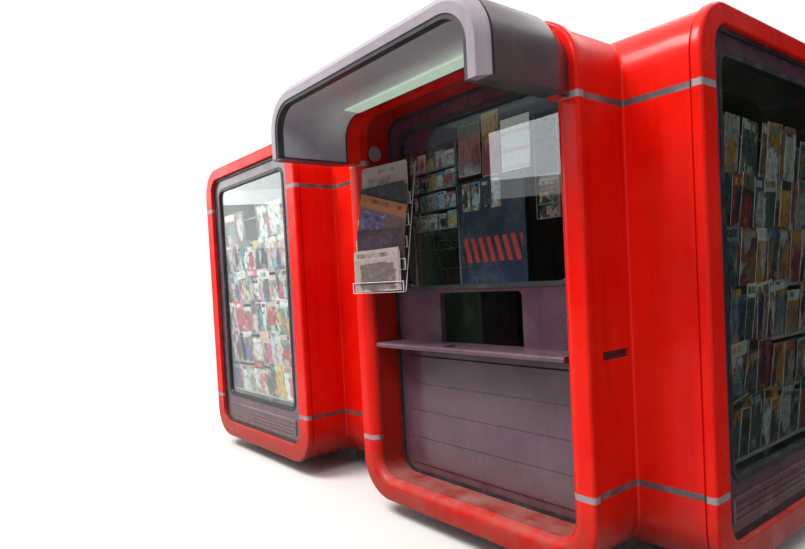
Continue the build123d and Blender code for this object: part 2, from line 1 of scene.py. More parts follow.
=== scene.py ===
"""Street kiosk of two coupled, moulded room modules: its finishes, its stock and its studio."""

import logging
import math
import random
from abc import ABC, abstractmethod
from collections.abc import Callable, Sequence
from dataclasses import dataclass, field, replace
from enum import Enum
from functools import cache

import bpy
from mathutils import Euler, Matrix, Vector


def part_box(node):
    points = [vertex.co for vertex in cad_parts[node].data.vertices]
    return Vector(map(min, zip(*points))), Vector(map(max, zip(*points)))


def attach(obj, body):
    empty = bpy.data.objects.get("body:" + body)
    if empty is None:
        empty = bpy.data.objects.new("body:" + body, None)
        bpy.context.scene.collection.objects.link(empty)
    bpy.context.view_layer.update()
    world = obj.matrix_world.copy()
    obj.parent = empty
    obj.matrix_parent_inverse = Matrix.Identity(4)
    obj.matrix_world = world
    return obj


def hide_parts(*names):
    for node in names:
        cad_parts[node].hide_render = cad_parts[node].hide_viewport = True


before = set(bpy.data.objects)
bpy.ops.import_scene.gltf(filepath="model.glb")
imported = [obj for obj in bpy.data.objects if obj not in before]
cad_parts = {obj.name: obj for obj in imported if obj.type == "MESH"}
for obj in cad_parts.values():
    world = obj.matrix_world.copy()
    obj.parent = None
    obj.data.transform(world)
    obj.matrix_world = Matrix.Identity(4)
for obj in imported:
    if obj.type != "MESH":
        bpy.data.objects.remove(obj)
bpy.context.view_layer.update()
log = logging.getLogger("kiosk")

Pair = tuple[float, float]
Colour = tuple[float, float, float]
Point = tuple[float, float, float]
Area = tuple[float, float, float, float]
Surface = Callable[[float, float], Vector]
Socket = bpy.types.NodeSocket

# Sizes that the model's own source uses, in metres
MODULE_PITCH = 2.420
RIM_PLANE = -1.200
OPENING_HALF_WIDTH = 0.722
OPENING_FOOT = 0.245
UPPER_JOINT = 2.243
TUBE_HALF_WIDTH = 0.840
TUBE_MIDDLE = 1.363
TUBE_HALF_HEIGHT = 1.241
TUBE_RADIUS = 0.230
SHELL_WALL = 0.040

# Printed sheets: how far apart two issues are on the print's ground, and in the draws
ISSUE_SHIFT = (53.0, 31.0)
ISSUE_STEP = 97.0

# Where most of the noise lies
NOISE_REACH = (0.3, 0.7)

WHITE: Colour = (1.0, 1.0, 1.0)
BLACK: Colour = (0.0, 0.0, 0.0)
ORIGIN: Point = (0.0, 0.0, 0.0)


class Side(Enum):
    """The sides that hold magazines, each by the turn that carries the front there."""

    FRONT = 0
    RIGHT = 90


class Module(Enum):
    """The two modules, each by its place in the row."""

    RIGHT = 0
    LEFT = -1


class Draw(Enum):
    """What is drawn anew for each printed cover, by a number of its own and two limits."""

    GROUND = 3.0, 0.0, 1.0
    PATCH_SHIFT = 5.0, 0.0, 1.0
    MASTHEAD = 11.0, 0.0, 1.0
    MASTHEAD_FOOT = 13.0, 0.74, 0.90
    TITLE = 17.0, 0.0, 1.0
    TITLE_END = 19.0, 0.50, 0.95
    BOX_START = 29.0, 0.05, 0.62
    BOX_HEAD = 31.0, 0.0, 1.0
    PATCHED = 37.0, 0.0, 1.0
    SUBJECT_MIDDLE = 41.0, 0.30, 0.70
    SUBJECT_LEVEL = 43.0, 0.22, 0.50
    SUBJECT_WIDTH = 47.0, 0.18, 0.42
    SUBJECT = 53.0, 0.0, 1.0
    BOX = 59.0, 0.0, 1.0
    HAS_MASTHEAD = 61.0, 0.0, 1.0


def carried(side: Side, module: Module) -> Matrix:
    """Find the move that carries a piece made for the front of the right module.

    Args:
        side: The side of the module that the piece belongs on.
        module: The module that the piece belongs to.

    Returns:
        The turn and shift as one matrix.
    """
    shift = Matrix.Translation((module.value * MODULE_PITCH, 0.0, 0.0))
    return shift @ Matrix.Rotation(math.radians(side.value), 4, "Z")


# Node trees


class Graph:
    """A shader node tree under construction, with one short call for each kind of step."""

    def __init__(self, name: str, world: bool = False) -> None:
        """Start an empty material, or an empty world.

        Args:
            name: The material's or world's name.
            world: True for a world.
        """
        self.holder = (bpy.data.worlds if world else bpy.data.materials).new(name)
        self.holder.use_nodes = True
        self.tree = self.holder.node_tree
        self.tree.nodes.clear()

    def add(self, kind: str, inputs: dict[str, object] | None = None,
            **settings: object) -> bpy.types.Node:
        """Add one node.

        Args:
            kind: The node's type, without its ShaderNode prefix.
            inputs: A value or a socket for each input, by the input's identifier.
            settings: The node's own properties.

        Returns:
            The new node.
        """
        node = self.tree.nodes.new("ShaderNode" + kind)
        for key, value in settings.items():
            setattr(node, key, value)
        for key, value in (inputs or {}).items():
            socket = next(s for s in node.inputs if s.identifier == key)
            if isinstance(value, Socket):
                self.tree.links.new(value, socket)
            elif socket.type == "RGBA":
                socket.default_value = (*value, 1.0)
            else:
                socket.default_value = value
        return node

    @cache
    def place(self) -> Socket:
        """Give the place on the object, in metres."""
        return self.add("TexCoord").outputs["Object"]

    @cache
    def axes(self) -> tuple[Socket, ...]:
        """Give the place along the row, across it and above the ground, in metres."""
        return tuple(self.add("SeparateXYZ", {"Vector": self.place()}).outputs)

    @cache
    def from_joint(self) -> Socket:
        """Give how far a point lies, along the row, from the joint of the modules."""
        return self.sum("ABSOLUTE", self.sum("ADD", self.axes()[0], MODULE_PITCH / 2))

    @cache
    def from_middle(self) -> Socket:
        """Give how far a point lies, along the row, from the middle of its module."""
        return self.sum("ABSOLUTE", self.sum("SUBTRACT", self.from_joint(), MODULE_PITCH / 2))

    @cache
    def facing_up(self) -> Socket:
        """Give how far the surface faces the sky, from -1 to 1."""
        normal = self.add("NewGeometry").outputs["Normal"]
        return self.add("SeparateXYZ", {"Vector": normal}).outputs["Z"]

    def noise(self, at: Socket, scale: float | Point, detail: float = 2.0,
              roughness: float = 0.5) -> Socket:
        """Give soft noise.

        Args:
            at: The place to read it at.
            scale: How many of its features fit into a metre, or into one along each axis.
            detail: How many finer layers it has.
            roughness: How strong the finer layers are.

        Returns:
            A value about 0.5.
        """
        if isinstance(scale, tuple):
            at = self.add("Mapping", {"Vector": at, "Scale": scale}).outputs["Vector"]
            scale = 1.0
        inputs = {"Vector": at, "Scale": scale, "Detail": detail, "Roughness": roughness}
        return self.add("TexNoise", inputs).outputs["Fac"]

    def span(self, value: Socket, low: float, high: float, start: float = 0.0,
             end: float = 1.0) -> Socket:
        """Carry a value from one span to another, clamped at both ends.

        Args:
            value: The value to carry.
            low: The foot of its own span.
            high: The head of its own span.
            start: What the foot becomes.
            end: What the head becomes.

        Returns:
            The carried value.
        """
        inputs = {"Value": value, "From Min": low, "From Max": high, "To Min": start, "To Max": end}
        return self.add("MapRange", inputs).outputs["Result"]

    def spread(self, noise: Socket, start: float = 0.0, end: float = 1.0) -> Socket:
        """Carry noise to a span, from the reach in which most of it lies."""
        return self.span(noise, *NOISE_REACH, start, end)

    def sum(self, operation: str, first: object, second: object = 0.0) -> Socket:
        """Work out one sum, such as ADD or FRACT, of one or two values."""
        node = self.add("Math", {"Value": first, "Value_001": second}, operation=operation)
        return node.outputs["Value"]

    def product(self, first: object, *others: object) -> Socket:
        """Multiply values with each other.

        Args:
            first: The first value.
            others: The values that it is multiplied by.

        Returns:
            The product.
        """
        for other in others:
            first = self.sum("MULTIPLY", first, other)
        return first

    def vector(self, operation: str, first: object, second: object = ORIGIN) -> Socket:
        """Work out one sum of vectors, which gives a value for LENGTH and DOT_PRODUCT."""
        node = self.add("VectorMath", {"Vector": first, "Vector_001": second}, operation=operation)
        return node.outputs["Value" if operation in ("LENGTH", "DOT_PRODUCT") else "Vector"]

    def within(self, value: Socket, low: object, high: object) -> Socket:
        """Give 1 where a value lies between two others, and 0 elsewhere."""
        above = self.sum("GREATER_THAN", value, low)
        return self.product(above, self.sum("LESS_THAN", value, high))

    def repeated(self, value: Socket, count: float) -> Socket:
        """Run from 0 to 1 over and over, so many times where the value grows by 1."""
        return self.sum("FRACT", self.product(value, count))

    def striped(self, value: Socket, count: float, share: float) -> Socket:
        """Give 1 in stripes that take up a share of each repeat, and 0 between them."""
        return self.sum("LESS_THAN", self.repeated(value, count), share)

    def mix(self, share: object, first: object, second: object) -> Socket:
        """Mix two colours.

        Args:
            share: How much of the second colour shows.
            first: The colour under it.
            second: The colour over it.

        Returns:
            The mixed colour.
        """
        inputs = {"Factor_Float": share, "A_Color": first, "B_Color": second}
        node = self.add("Mix", inputs, data_type="RGBA")
        return next(s for s in node.outputs if s.identifier == "Result_Color")

    def ramp(self, value: Socket, stops: Sequence[tuple[float, Colour]],
             hard: bool = False) -> Socket:
        """Turn a value into a colour from a row of stops.

        Args:
            value: The value from 0 to 1.
            stops: Each stop's place and colour.
            hard: True for plain steps and no blending.

        Returns:
            The colour.
        """
        node = self.add("ValToRGB", {"Fac": value})
        band = node.color_ramp
        band.interpolation = "CONSTANT" if hard else "LINEAR"
        while len(band.elements) < len(stops):
            band.elements.new(1.0)
        for element, (at, colour) in zip(band.elements, stops):
            element.position = at
            element.color = (*colour, 1.0)
        return node.outputs["Color"]

    def bump(self, height: Socket, depth: float, under: Socket | None = None) -> Socket:
        """Raise a surface by a height.

        Args:
            height: The height, from 0 to 1.
            depth: What a height of 1 stands for, in metres.
            under: A bump that this one lies on.

        Returns:
            The normal.
        """
        inputs = {"Height": height, "Distance": depth, "Strength": 1.0}
        if under is not None:
            inputs["Normal"] = under
        return self.add("Bump", inputs).outputs["Normal"]

    def grain(self, scale: float, detail: float, depth: float,
              under: Socket | None = None) -> Socket:
        """Raise a surface by noise.

        Args:
            scale: How many of the noise's features fit into a metre.
            detail: How many finer layers it has.
            depth: What a height of 1 stands for, in metres.
            under: A bump that this one lies on.

        Returns:
            The normal.
        """
        return self.bump(self.noise(self.place(), scale, detail), depth, under)

    @cache
    def issue(self) -> Socket:
        """Give a printed sheet's own number, from 0 to 1."""
        return self.add("Attribute", attribute_name="issue").outputs["Fac"]

    @cache
    def printed(self) -> tuple[Socket, Socket, Socket]:
        """Read the place on a printed sheet.

        Returns:
            The place across and up, and a place that differs from sheet to sheet.
        """
        at = self.add("UVMap", uv_map="cover").outputs["UV"]
        parts = self.add("SeparateXYZ", {"Vector": at}).outputs
        aside, above = (self.product(self.issue(), shift) for shift in ISSUE_SHIFT)
        moved = self.add("CombineXYZ", {"X": aside, "Y": above}).outputs["Vector"]
        return parts["X"], parts["Y"], self.vector("ADD", at, moved)

    def drawn(self, draw: Draw) -> Socket:
        """Draw a new value for each printed sheet.

        Args:
            draw: What it is drawn for.

        Returns:
            A value between the draw's limits.
        """
        number, low, high = draw.value
        seed = self.sum("ADD", self.product(self.issue(), ISSUE_STEP), number)
        value = self.add("TexWhiteNoise", {"W": seed}, noise_dimensions="1D").outputs["Value"]
        return value if (low, high) == (0.0, 1.0) else self.span(value, 0.0, 1.0, low, high)

    def seen(self) -> Socket:
        """Tell the rays to which the studio shows plainly.

        Returns:
            1 to the eye, to gloss and through glass, and 0 to plain light.
        """
        rays = self.add("LightPath").outputs
        clear = self.sum("MAXIMUM", rays["Is Camera Ray"], rays["Is Transmission Ray"])
        return self.sum("MAXIMUM", clear, rays["Is Glossy Ray"])

    def surface(self, **inputs: object) -> Socket:
        """Add the main shader, with its inputs named in plain words.

        Args:
            inputs: The main shader's inputs, by names such as base_color.

        Returns:
            The shader.
        """
        names = {key: key.replace("_", " ").title().replace("Ior", "IOR") for key in inputs}
        node = self.add("BsdfPrincipled", {names[key]: value for key, value in inputs.items()})
        return node.outputs["BSDF"]


# Finishes


@dataclass(frozen=True)
class Patches:
    """Soft, uneven patches in which one colour shows over another."""

    scale: float | Point
    detail: float
    roughness: float
    low: float
    high: float
    share: float = 1.0

    def shown(self, g: Graph, at: Socket | None = None) -> Socket:
        """Find how much shows at a point.

        Args:
            g: The node tree.
            at: The place to read the patches at, or None for the place on the object.

        Returns:
            A value from 0 to the patches' share.
        """
        noise = g.noise(g.place() if at is None else at, self.scale, self.detail, self.roughness)
        return g.span(noise, self.low, self.high, 0.0, self.share)

    def over(self, g: Graph, under: object, colour: Colour) -> Socket:
        """Lay a colour over another in these patches."""
        return g.mix(self.shown(g), under, colour)


class Finish(ABC):
    """A finish of the kiosk, which is one named material."""

    name: str

    @abstractmethod
    def shader(self, g: Graph) -> Socket:
        """Build the finish's shader in an empty node tree."""

    @cache
    def material(self) -> bpy.types.Material:
        """Build the material, once for each finish.

        Returns:
            The material.
        """
        g = Graph(self.name)
        g.add("OutputMaterial", {"Surface": self.shader(g)})
        return g.holder


@dataclass(frozen=True)
class GelCoat(Finish):
    """Coloured, moulded polyester whose gloss and colour have weathered unevenly."""

    name: str
    colour: Colour
    faded: Colour
    dark: Colour
    gloss: Pair = (0.20, 0.38)
    dust: float = 0.30
    shine: float = 0.28
    lacquer: float = 0.12
    lacquer_roughness: float = 0.07
    # Inner faces take this colour: a grey coat, set dark as painted shade of the unlit inside
    inner: Colour | None = None
    inner_reach: float = 1.14
    coupled_reach: float = 0.14
    # Darkening towards the foot, its colour, heights and strength: painted shade near the ground,
    # with some grime
    damp: Colour = (0.10, 0.010, 0.008)
    foot_shade_and_grime_levels: Pair = (0.10, 0.50)
    foot_shade_and_grime_share: float = 0.62
    mud: Colour = (0.16, 0.10, 0.07)
    # Faces that look up turn paler in patches: settled dust and a painted sky sheen
    dust_and_sky_sheen: Colour = (0.40, 0.34, 0.31)
    dust_and_sheen_slope: Pair = (0.35, 0.95)
    clouds: Patches = Patches(1.9, 5.0, 0.6, 0.40, 0.72)
    runs: Patches = Patches((14.0, 14.0, 0.7), 4.0, 0.6, 0.52, 0.80, 0.42)
    streaks: Patches = Patches((90.0, 90.0, 2.2), 3.0, 0.6, 0.54, 0.80, 0.20)
    stains: Patches = Patches((2.6, 2.6, 1.1), 6.0, 0.7, 0.46, 0.72, 0.30)
    specks: Patches = Patches(60.0, 2.0, 0.5, 0.66, 0.74, 0.35)
    splashes: Patches = Patches(9.0, 5.0, 0.65, 0.38, 0.70, 0.6)
    dust_and_sheen_patches: Patches = Patches(6.0, 5.0, 0.7, *NOISE_REACH)
    wave_depth: float = 0.0096
    peel_depth: float = 0.00010

    def inside(self, g: Graph) -> Socket:
        """Find the inner faces: those that lie deeper than half the wall in one of the two tubes.

        Args:
            g: The node tree.

        Returns:
            1 on an inner face and 0 elsewhere.
        """
        _, y, z = g.axes()
        coupled = g.sum("LESS_THAN", g.from_joint(), self.coupled_reach)
        reach = g.sum("ADD", g.product(coupled, self.coupled_reach), self.inner_reach)
        along, across = g.from_middle(), g.sum("ABSOLUTE", y)
        level = g.sum("ABSOLUTE", g.sum("SUBTRACT", z, TUBE_MIDDLE))
        core = (TUBE_HALF_WIDTH - TUBE_RADIUS, TUBE_HALF_HEIGHT - TUBE_RADIUS, 0.0)
        found = []
        for side, length in ((across, along), (along, across)):
            corner = g.add("CombineXYZ", {"X": side, "Y": level}).outputs["Vector"]
            past = g.vector("MAXIMUM", g.vector("SUBTRACT", corner, core))
            deep = g.sum("LESS_THAN", g.vector("LENGTH", past), TUBE_RADIUS - SHELL_WALL / 2)
            found.append(g.product(deep, g.sum("LESS_THAN", length, reach)))
        return g.sum("MAXIMUM", *found)

    def shader(self, g: Graph) -> Socket:
        """Lay runs, streaks, stains, specks, painted foot shade with grime, mud, and dust with a
        painted sky sheen over the faded colour.

        Args:
            g: The node tree.

        Returns:
            The shader.
        """
        colour = self.clouds.over(g, self.colour, self.faded)
        # Painted shade: the inner faces go dark grey, for the unlit inside
        if self.inner is not None:
            colour = g.mix(self.inside(g), colour, self.inner)
        for marks in (self.runs, self.streaks, self.stains, self.specks):
            colour = marks.over(g, colour, self.dark)
        # Painted shade with some grime: the colour darkens towards the foot, and mud splashes keep
        # to the same low band
        low = g.span(g.axes()[2], *self.foot_shade_and_grime_levels, 1.0, 0.0)
        colour = g.mix(g.product(low, self.foot_shade_and_grime_share), colour, self.damp)
        splash = g.product(low, self.splashes.shown(g))
        colour = g.mix(splash, colour, self.mud)
        # Dust and a painted sky sheen on the faces that look up; the same patches also dull the
        # gloss
        drift = g.product(g.span(g.facing_up(), *self.dust_and_sheen_slope), self.dust_and_sheen_patches.shown(g))
        colour = g.mix(g.product(drift, self.dust), colour, self.dust_and_sky_sheen)
        dull = g.sum("ADD", g.noise(g.place(), 3.1, 4.0), g.product(drift, 0.2))
        rough = g.sum("ADD", g.spread(dull, *self.gloss), g.product(splash, 0.5))
        peel = g.grain(230.0, 1.0, self.peel_depth, g.grain(3.6, 1.0, self.wave_depth))
        return g.surface(base_color=colour, roughness=rough, normal=peel,
                         specular_ior_level=self.shine, coat_weight=self.lacquer,
                         coat_roughness=self.lacquer_roughness)


class LinerCoat(GelCoat):
    """Gel coat of the sales recess, dark grey on the side that looks into the room: a grey coat set
    dark as painted shade of the unlit inside.
    """

    least_turn = 0.02

    def inside(self, g: Graph) -> Socket:
        """Find the faces that look away from the recess's own middle line.

        Args:
            g: The node tree.

        Returns:
            1 on a face towards the room and 0 elsewhere.
        """
        out = g.vector("SUBTRACT", g.place(), (0.0, 0.0, TUBE_MIDDLE))
        out = g.vector("MULTIPLY", out, (1.0, 0.0, 1.0))
        normal = g.add("NewGeometry").outputs["True Normal"]
        return g.sum("GREATER_THAN", g.vector("DOT_PRODUCT", out, normal), self.least_turn)


@dataclass(frozen=True)
class WornCoat(Finish):
    """Rubber, or plastic-coated wire and sheet, that has gone paler and duller in patches."""

    name: str
    colour: Colour
    worn: Colour
    wear: Patches = Patches(26.0, 5.0, 0.65, 0.52, 0.72)
    gloss: Pair = (0.28, 0.50)
    grain_scale: float = 340.0
    grain_depth: float = 0.0001

    def shader(self, g: Graph) -> Socket:
        """Lay the wear over the colour.

        Args:
            g: The node tree.

        Returns:
            The shader.
        """
        worn = self.wear.shown(g)
        return g.surface(base_color=g.mix(worn, self.colour, self.worn),
                         roughness=g.span(worn, 0.0, 1.0, *self.gloss),
                         normal=g.grain(self.grain_scale, 2.0, self.grain_depth))


@dataclass(frozen=True)
class StripMetal(Finish):
    """Cover strip of the joints: dull coated metal with scuffs, grime and paler end pieces."""

    name: str = "joint_strip_coating"
    colour: Colour = (0.085, 0.066, 0.072)
    scuffed: Colour = (0.165, 0.135, 0.142)
    end_piece: Colour = (0.30, 0.25, 0.26)
    grime: Colour = (0.045, 0.025, 0.025)
    end_reach: float = 1.156
    metal_share: float = 0.2
    gloss: Pair = (0.35, 0.6)
    scuffs: Patches = Patches(5.0, 4.0, 0.6, 0.48, 0.62)
    dirt: Patches = Patches(22.0, 5.0, 0.7, 0.56, 0.76, 0.8)

    def shader(self, g: Graph) -> Socket:
        """Lay scuffs, the end pieces' colour and grime over the coating.

        Args:
            g: The node tree.

        Returns:
            The shader.
        """
        reach = g.sum("MAXIMUM", g.from_middle(), g.sum("ABSOLUTE", g.axes()[1]))
        colour = self.scuffs.over(g, self.colour, self.scuffed)
        colour = g.mix(g.sum("GREATER_THAN", reach, self.end_reach), colour, self.end_piece)
        colour = self.dirt.over(g, colour, self.grime)
        rough = g.spread(g.noise(g.place(), 30.0, 3.0), *self.gloss)
        return g.surface(base_color=colour, roughness=rough, normal=g.grain(300.0, 2.0, 0.0001),
                         metallic=self.metal_share)


@dataclass(frozen=True)
class Pane(Finish):
    """Clear glass pane that daylight passes, so that what stands behind it is lit."""

    name: str = "window_pane"
    tint: Colour = (0.90, 0.96, 0.93)
    film: Colour = (0.80, 0.84, 0.82)
    dust: Patches = Patches(5.0, 6.0, 0.7, 0.45, 0.80, 0.8)
    glass_ior: float = 1.50

    def shader(self, g: Graph) -> Socket:
        """Make the pane dusty glass to the eye, and an open way to light.

        Args:
            g: The node tree.

        Returns:
            The shader.
        """
        pane = g.surface(base_color=self.dust.over(g, self.tint, self.film), roughness=0.0,
                         transmission_weight=1.0, ior=self.glass_ior)
        open_way = g.add("BsdfTransparent", {"Color": self.tint}).outputs["BSDF"]
        shade = g.add("LightPath").outputs["Is Shadow Ray"]
        both = g.add("MixShader", {"Fac": shade, "Shader": pane, "Shader_001": open_way})
        return both.outputs["Shader"]


@dataclass(frozen=True)
class CastConcrete(Finish):
    """Cast concrete of the footings, with pores and damp patches."""

    name: str = "footing_concrete"
    colour: Colour = (0.36, 0.345, 0.32)
    damp: Colour = (0.16, 0.15, 0.14)
    sand: Colour = (0.5, 0.49, 0.46)
    sand_share: float = 0.3
    sand_depth: float = 0.0006
    pore_scale: float = 55.0
    pore_depth: float = 0.0015
    wetting: Patches = Patches(4.0, 6.0, 0.7, 0.4, 0.7)

    def shader(self, g: Graph) -> Socket:
        """Lay damp and sand over the concrete and sink its pores.

        Args:
            g: The node tree.

        Returns:
            The shader.
        """
        sand = g.noise(g.place(), 260.0, 3.0)
        cells = g.add("TexVoronoi", {"Vector": g.place(), "Scale": self.pore_scale})
        pores = g.span(cells.outputs["Distance"], 0.08, 0.16)
        normal = g.bump(pores, self.pore_depth, g.bump(sand, self.sand_depth))
        colour = self.wetting.over(g, self.colour, self.damp)
        colour = g.mix(g.spread(sand, 0.0, self.sand_share), colour, self.sand)
        return g.surface(base_color=colour, roughness=0.92, normal=normal)


@dataclass(frozen=True)
class FloorSheet(Finish):
    """Ribbed vinyl floor sheet with trodden dust."""

    name: str = "floor_sheet"
    colour: Colour = (0.13, 0.12, 0.115)
    dust: Colour = (0.30, 0.27, 0.24)
    rib_scale: float = 60.0
    treading: Patches = Patches(3.0, 6.0, 0.7, 0.42, 0.7)

    def shader(self, g: Graph) -> Socket:
        """Lay dust over the sheet and raise its ribs.

        Args:
            g: The node tree.

        Returns:
            The shader.
        """
        inputs = {"Vector": g.place(), "Scale": self.rib_scale}
        ribs = g.add("TexWave", inputs, bands_direction="X").outputs["Fac"]
        return g.surface(base_color=self.treading.over(g, self.colour, self.dust), roughness=0.7,
                         normal=g.bump(ribs, 0.0008))


@dataclass(frozen=True)
class BrushedAluminium(Finish):
    """Brushed and lacquered aluminium of the door's handle and hinges."""

    name: str = "brushed_aluminium"
    colour: Colour = (0.60, 0.61, 0.63)
    stain: Colour = (0.34, 0.33, 0.33)
    brushing: Point = (900.0, 900.0, 12.0)
    gloss: Pair = (0.24, 0.42)
    stains: Patches = Patches(18.0, 4.0, 0.5, 0.5, 0.75, 0.5)

    def shader(self, g: Graph) -> Socket:
        """Brush the metal along its height and stain it.

        Args:
            g: The node tree.

        Returns:
            The shader.
        """
        hair = g.noise(g.place(), self.brushing)
        return g.surface(base_color=self.stains.over(g, self.colour, self.stain), metallic=1.0,
                         roughness=g.spread(hair, *self.gloss),
                         normal=g.bump(hair, 0.00005))


# The slight waves of a moulding: their scale, detail and depth
MOULDED_WAVE = (5.0, 1.0, 0.004)


@dataclass(frozen=True)
class Opal(Finish):
    """Pale moulded lining that daylight tints, clouded and a little stained."""

    name: str
    colour: Colour
    stain: Colour
    rough: float = 0.34
    glow: float = 0.0
    shine: float = 0.4
    stains: Patches = Patches(4.2, 6.0, 0.7, 0.45, 0.78, 0.7)

    def shader(self, g: Graph) -> Socket:
        """Stain the moulding and let it glow.

        Args:
            g: The node tree.

        Returns:
            The shader.
        """
        return g.surface(base_color=self.stains.over(g, self.colour, self.stain),
                         roughness=self.rough, normal=g.grain(*MOULDED_WAVE),
                         emission_color=self.colour, emission_strength=self.glow,
                         specular_ior_level=self.shine)


@dataclass(frozen=True)
class LitLining(Finish):
    """Hood lining: a grey moulding that glows near the lamp along its rear edge, as painted light,
    and has a painted sheen where it faces down.
    """

    name: str = "hood_lining_moulding"
    colour: Colour = (0.43, 0.42, 0.48)
    stain: Colour = (0.29, 0.28, 0.32)
    glow: Colour = (0.50, 0.60, 0.50)
    sheen: Colour = (0.50, 0.53, 0.50)
    reach: Pair = (0.03, 0.26)
    fall_off: float = 1.7
    side_reach: float = 0.1
    side_share: float = 0.25
    drops: Pair = (0.20, 0.02)
    strength: float = 0.62
    stains: Patches = Patches((3.0, 9.0, 3.0), 5.0, 0.7, 0.45, 0.78, 0.6)
    streaks: Patches = Patches((0.8, 14.0, 1.0), 3.0, 0.6, 0.42, 0.66)

    def lamplight(self, g: Graph) -> Socket:
        """Find how strong the lamp's painted glow is at a point.

        Args:
            g: The node tree.

        Returns:
            A value from 0 to 1.
        """
        low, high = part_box("hood_lamp")
        x, y, z = g.axes()
        away = g.sum("ABSOLUTE", g.sum("SUBTRACT", y, (low[1] + high[1]) / 2))
        near = g.sum("POWER", g.span(away, *self.reach, 1.0, 0.0), self.fall_off)
        beside = g.span(x, low[0] - self.side_reach, high[0], self.side_share, 1.0)
        return g.product(near, beside, g.span(z, *(low[2] - drop for drop in self.drops)))

    def shader(self, g: Graph) -> Socket:
        """Stain the moulding, paint a pale sheen in streaks on what faces down and paint the lamp's
        glow on it.

        Args:
            g: The node tree.

        Returns:
            The shader.
        """
        colour = self.stains.over(g, self.colour, self.stain)
        # Painted sky reflection: faces that look down take a pale sheen in long streaks
        down = g.span(g.facing_up(), -0.9, -0.5, 0.65, 0.0)
        colour = g.mix(g.product(self.streaks.shown(g), down), colour, self.sheen)
        # Painted light: the lining glows near the lamp, though it is no lamp
        return g.surface(base_color=colour, roughness=0.30, normal=g.grain(*MOULDED_WAVE),
                         emission_color=g.mix(self.lamplight(g), BLACK, self.glow),
                         emission_strength=self.strength, specular_ior_level=0.4)


# Every table of inks has its palest at place 0 and a black at place 4
PALE_INK, BLACK_INK = 0, 4

PRINT_INKS: tuple[Colour, ...] = (
    (0.462, 0.476, 0.49), (0.322, 0.025, 0.032), (0.025, 0.052, 0.168), (0.448, 0.42, 0.406),
    (0.014, 0.014, 0.02), (0.07, 0.189, 0.203), (0.42, 0.224, 0.266), (0.406, 0.231, 0.049),
    (0.49, 0.497, 0.504), (0.21, 0.119, 0.077), (0.266, 0.35, 0.392), (0.056, 0.052, 0.07),
    (0.392, 0.266, 0.217), (0.406, 0.056, 0.14), (0.035, 0.032, 0.042), (0.42, 0.35, 0.336),
)
"""Bright printing inks that the covers are set in."""

CARD_INKS: tuple[Colour, ...] = (
    (0.50, 0.52, 0.55), (0.10, 0.22, 0.36), (0.30, 0.42, 0.48), (0.44, 0.30, 0.06),
    (0.012, 0.014, 0.020), (0.30, 0.06, 0.06), (0.16, 0.20, 0.24), (0.40, 0.38, 0.30),
)
"""Printing inks of the picture cards."""

PAINTED_SHADE_INKS: tuple[Colour, ...] = (
    (0.26, 0.27, 0.28), (0.15, 0.014, 0.012), (0.012, 0.022, 0.065), (0.26, 0.11, 0.018),
    (0.008, 0.008, 0.011), (0.025, 0.055, 0.065), (0.11, 0.050, 0.026), (0.20, 0.20, 0.20),
    (0.03, 0.033, 0.055), (0.30, 0.155, 0.03), (0.08, 0.115, 0.14), (0.016, 0.012, 0.012),
    (0.18, 0.105, 0.08), (0.14, 0.02, 0.03), (0.018, 0.045, 0.050), (0.34, 0.34, 0.33),
)
# Printing inks darkened as painted shade, for the covers that stand in the shade.
"""Deep printing inks of covers that stand in the shade."""


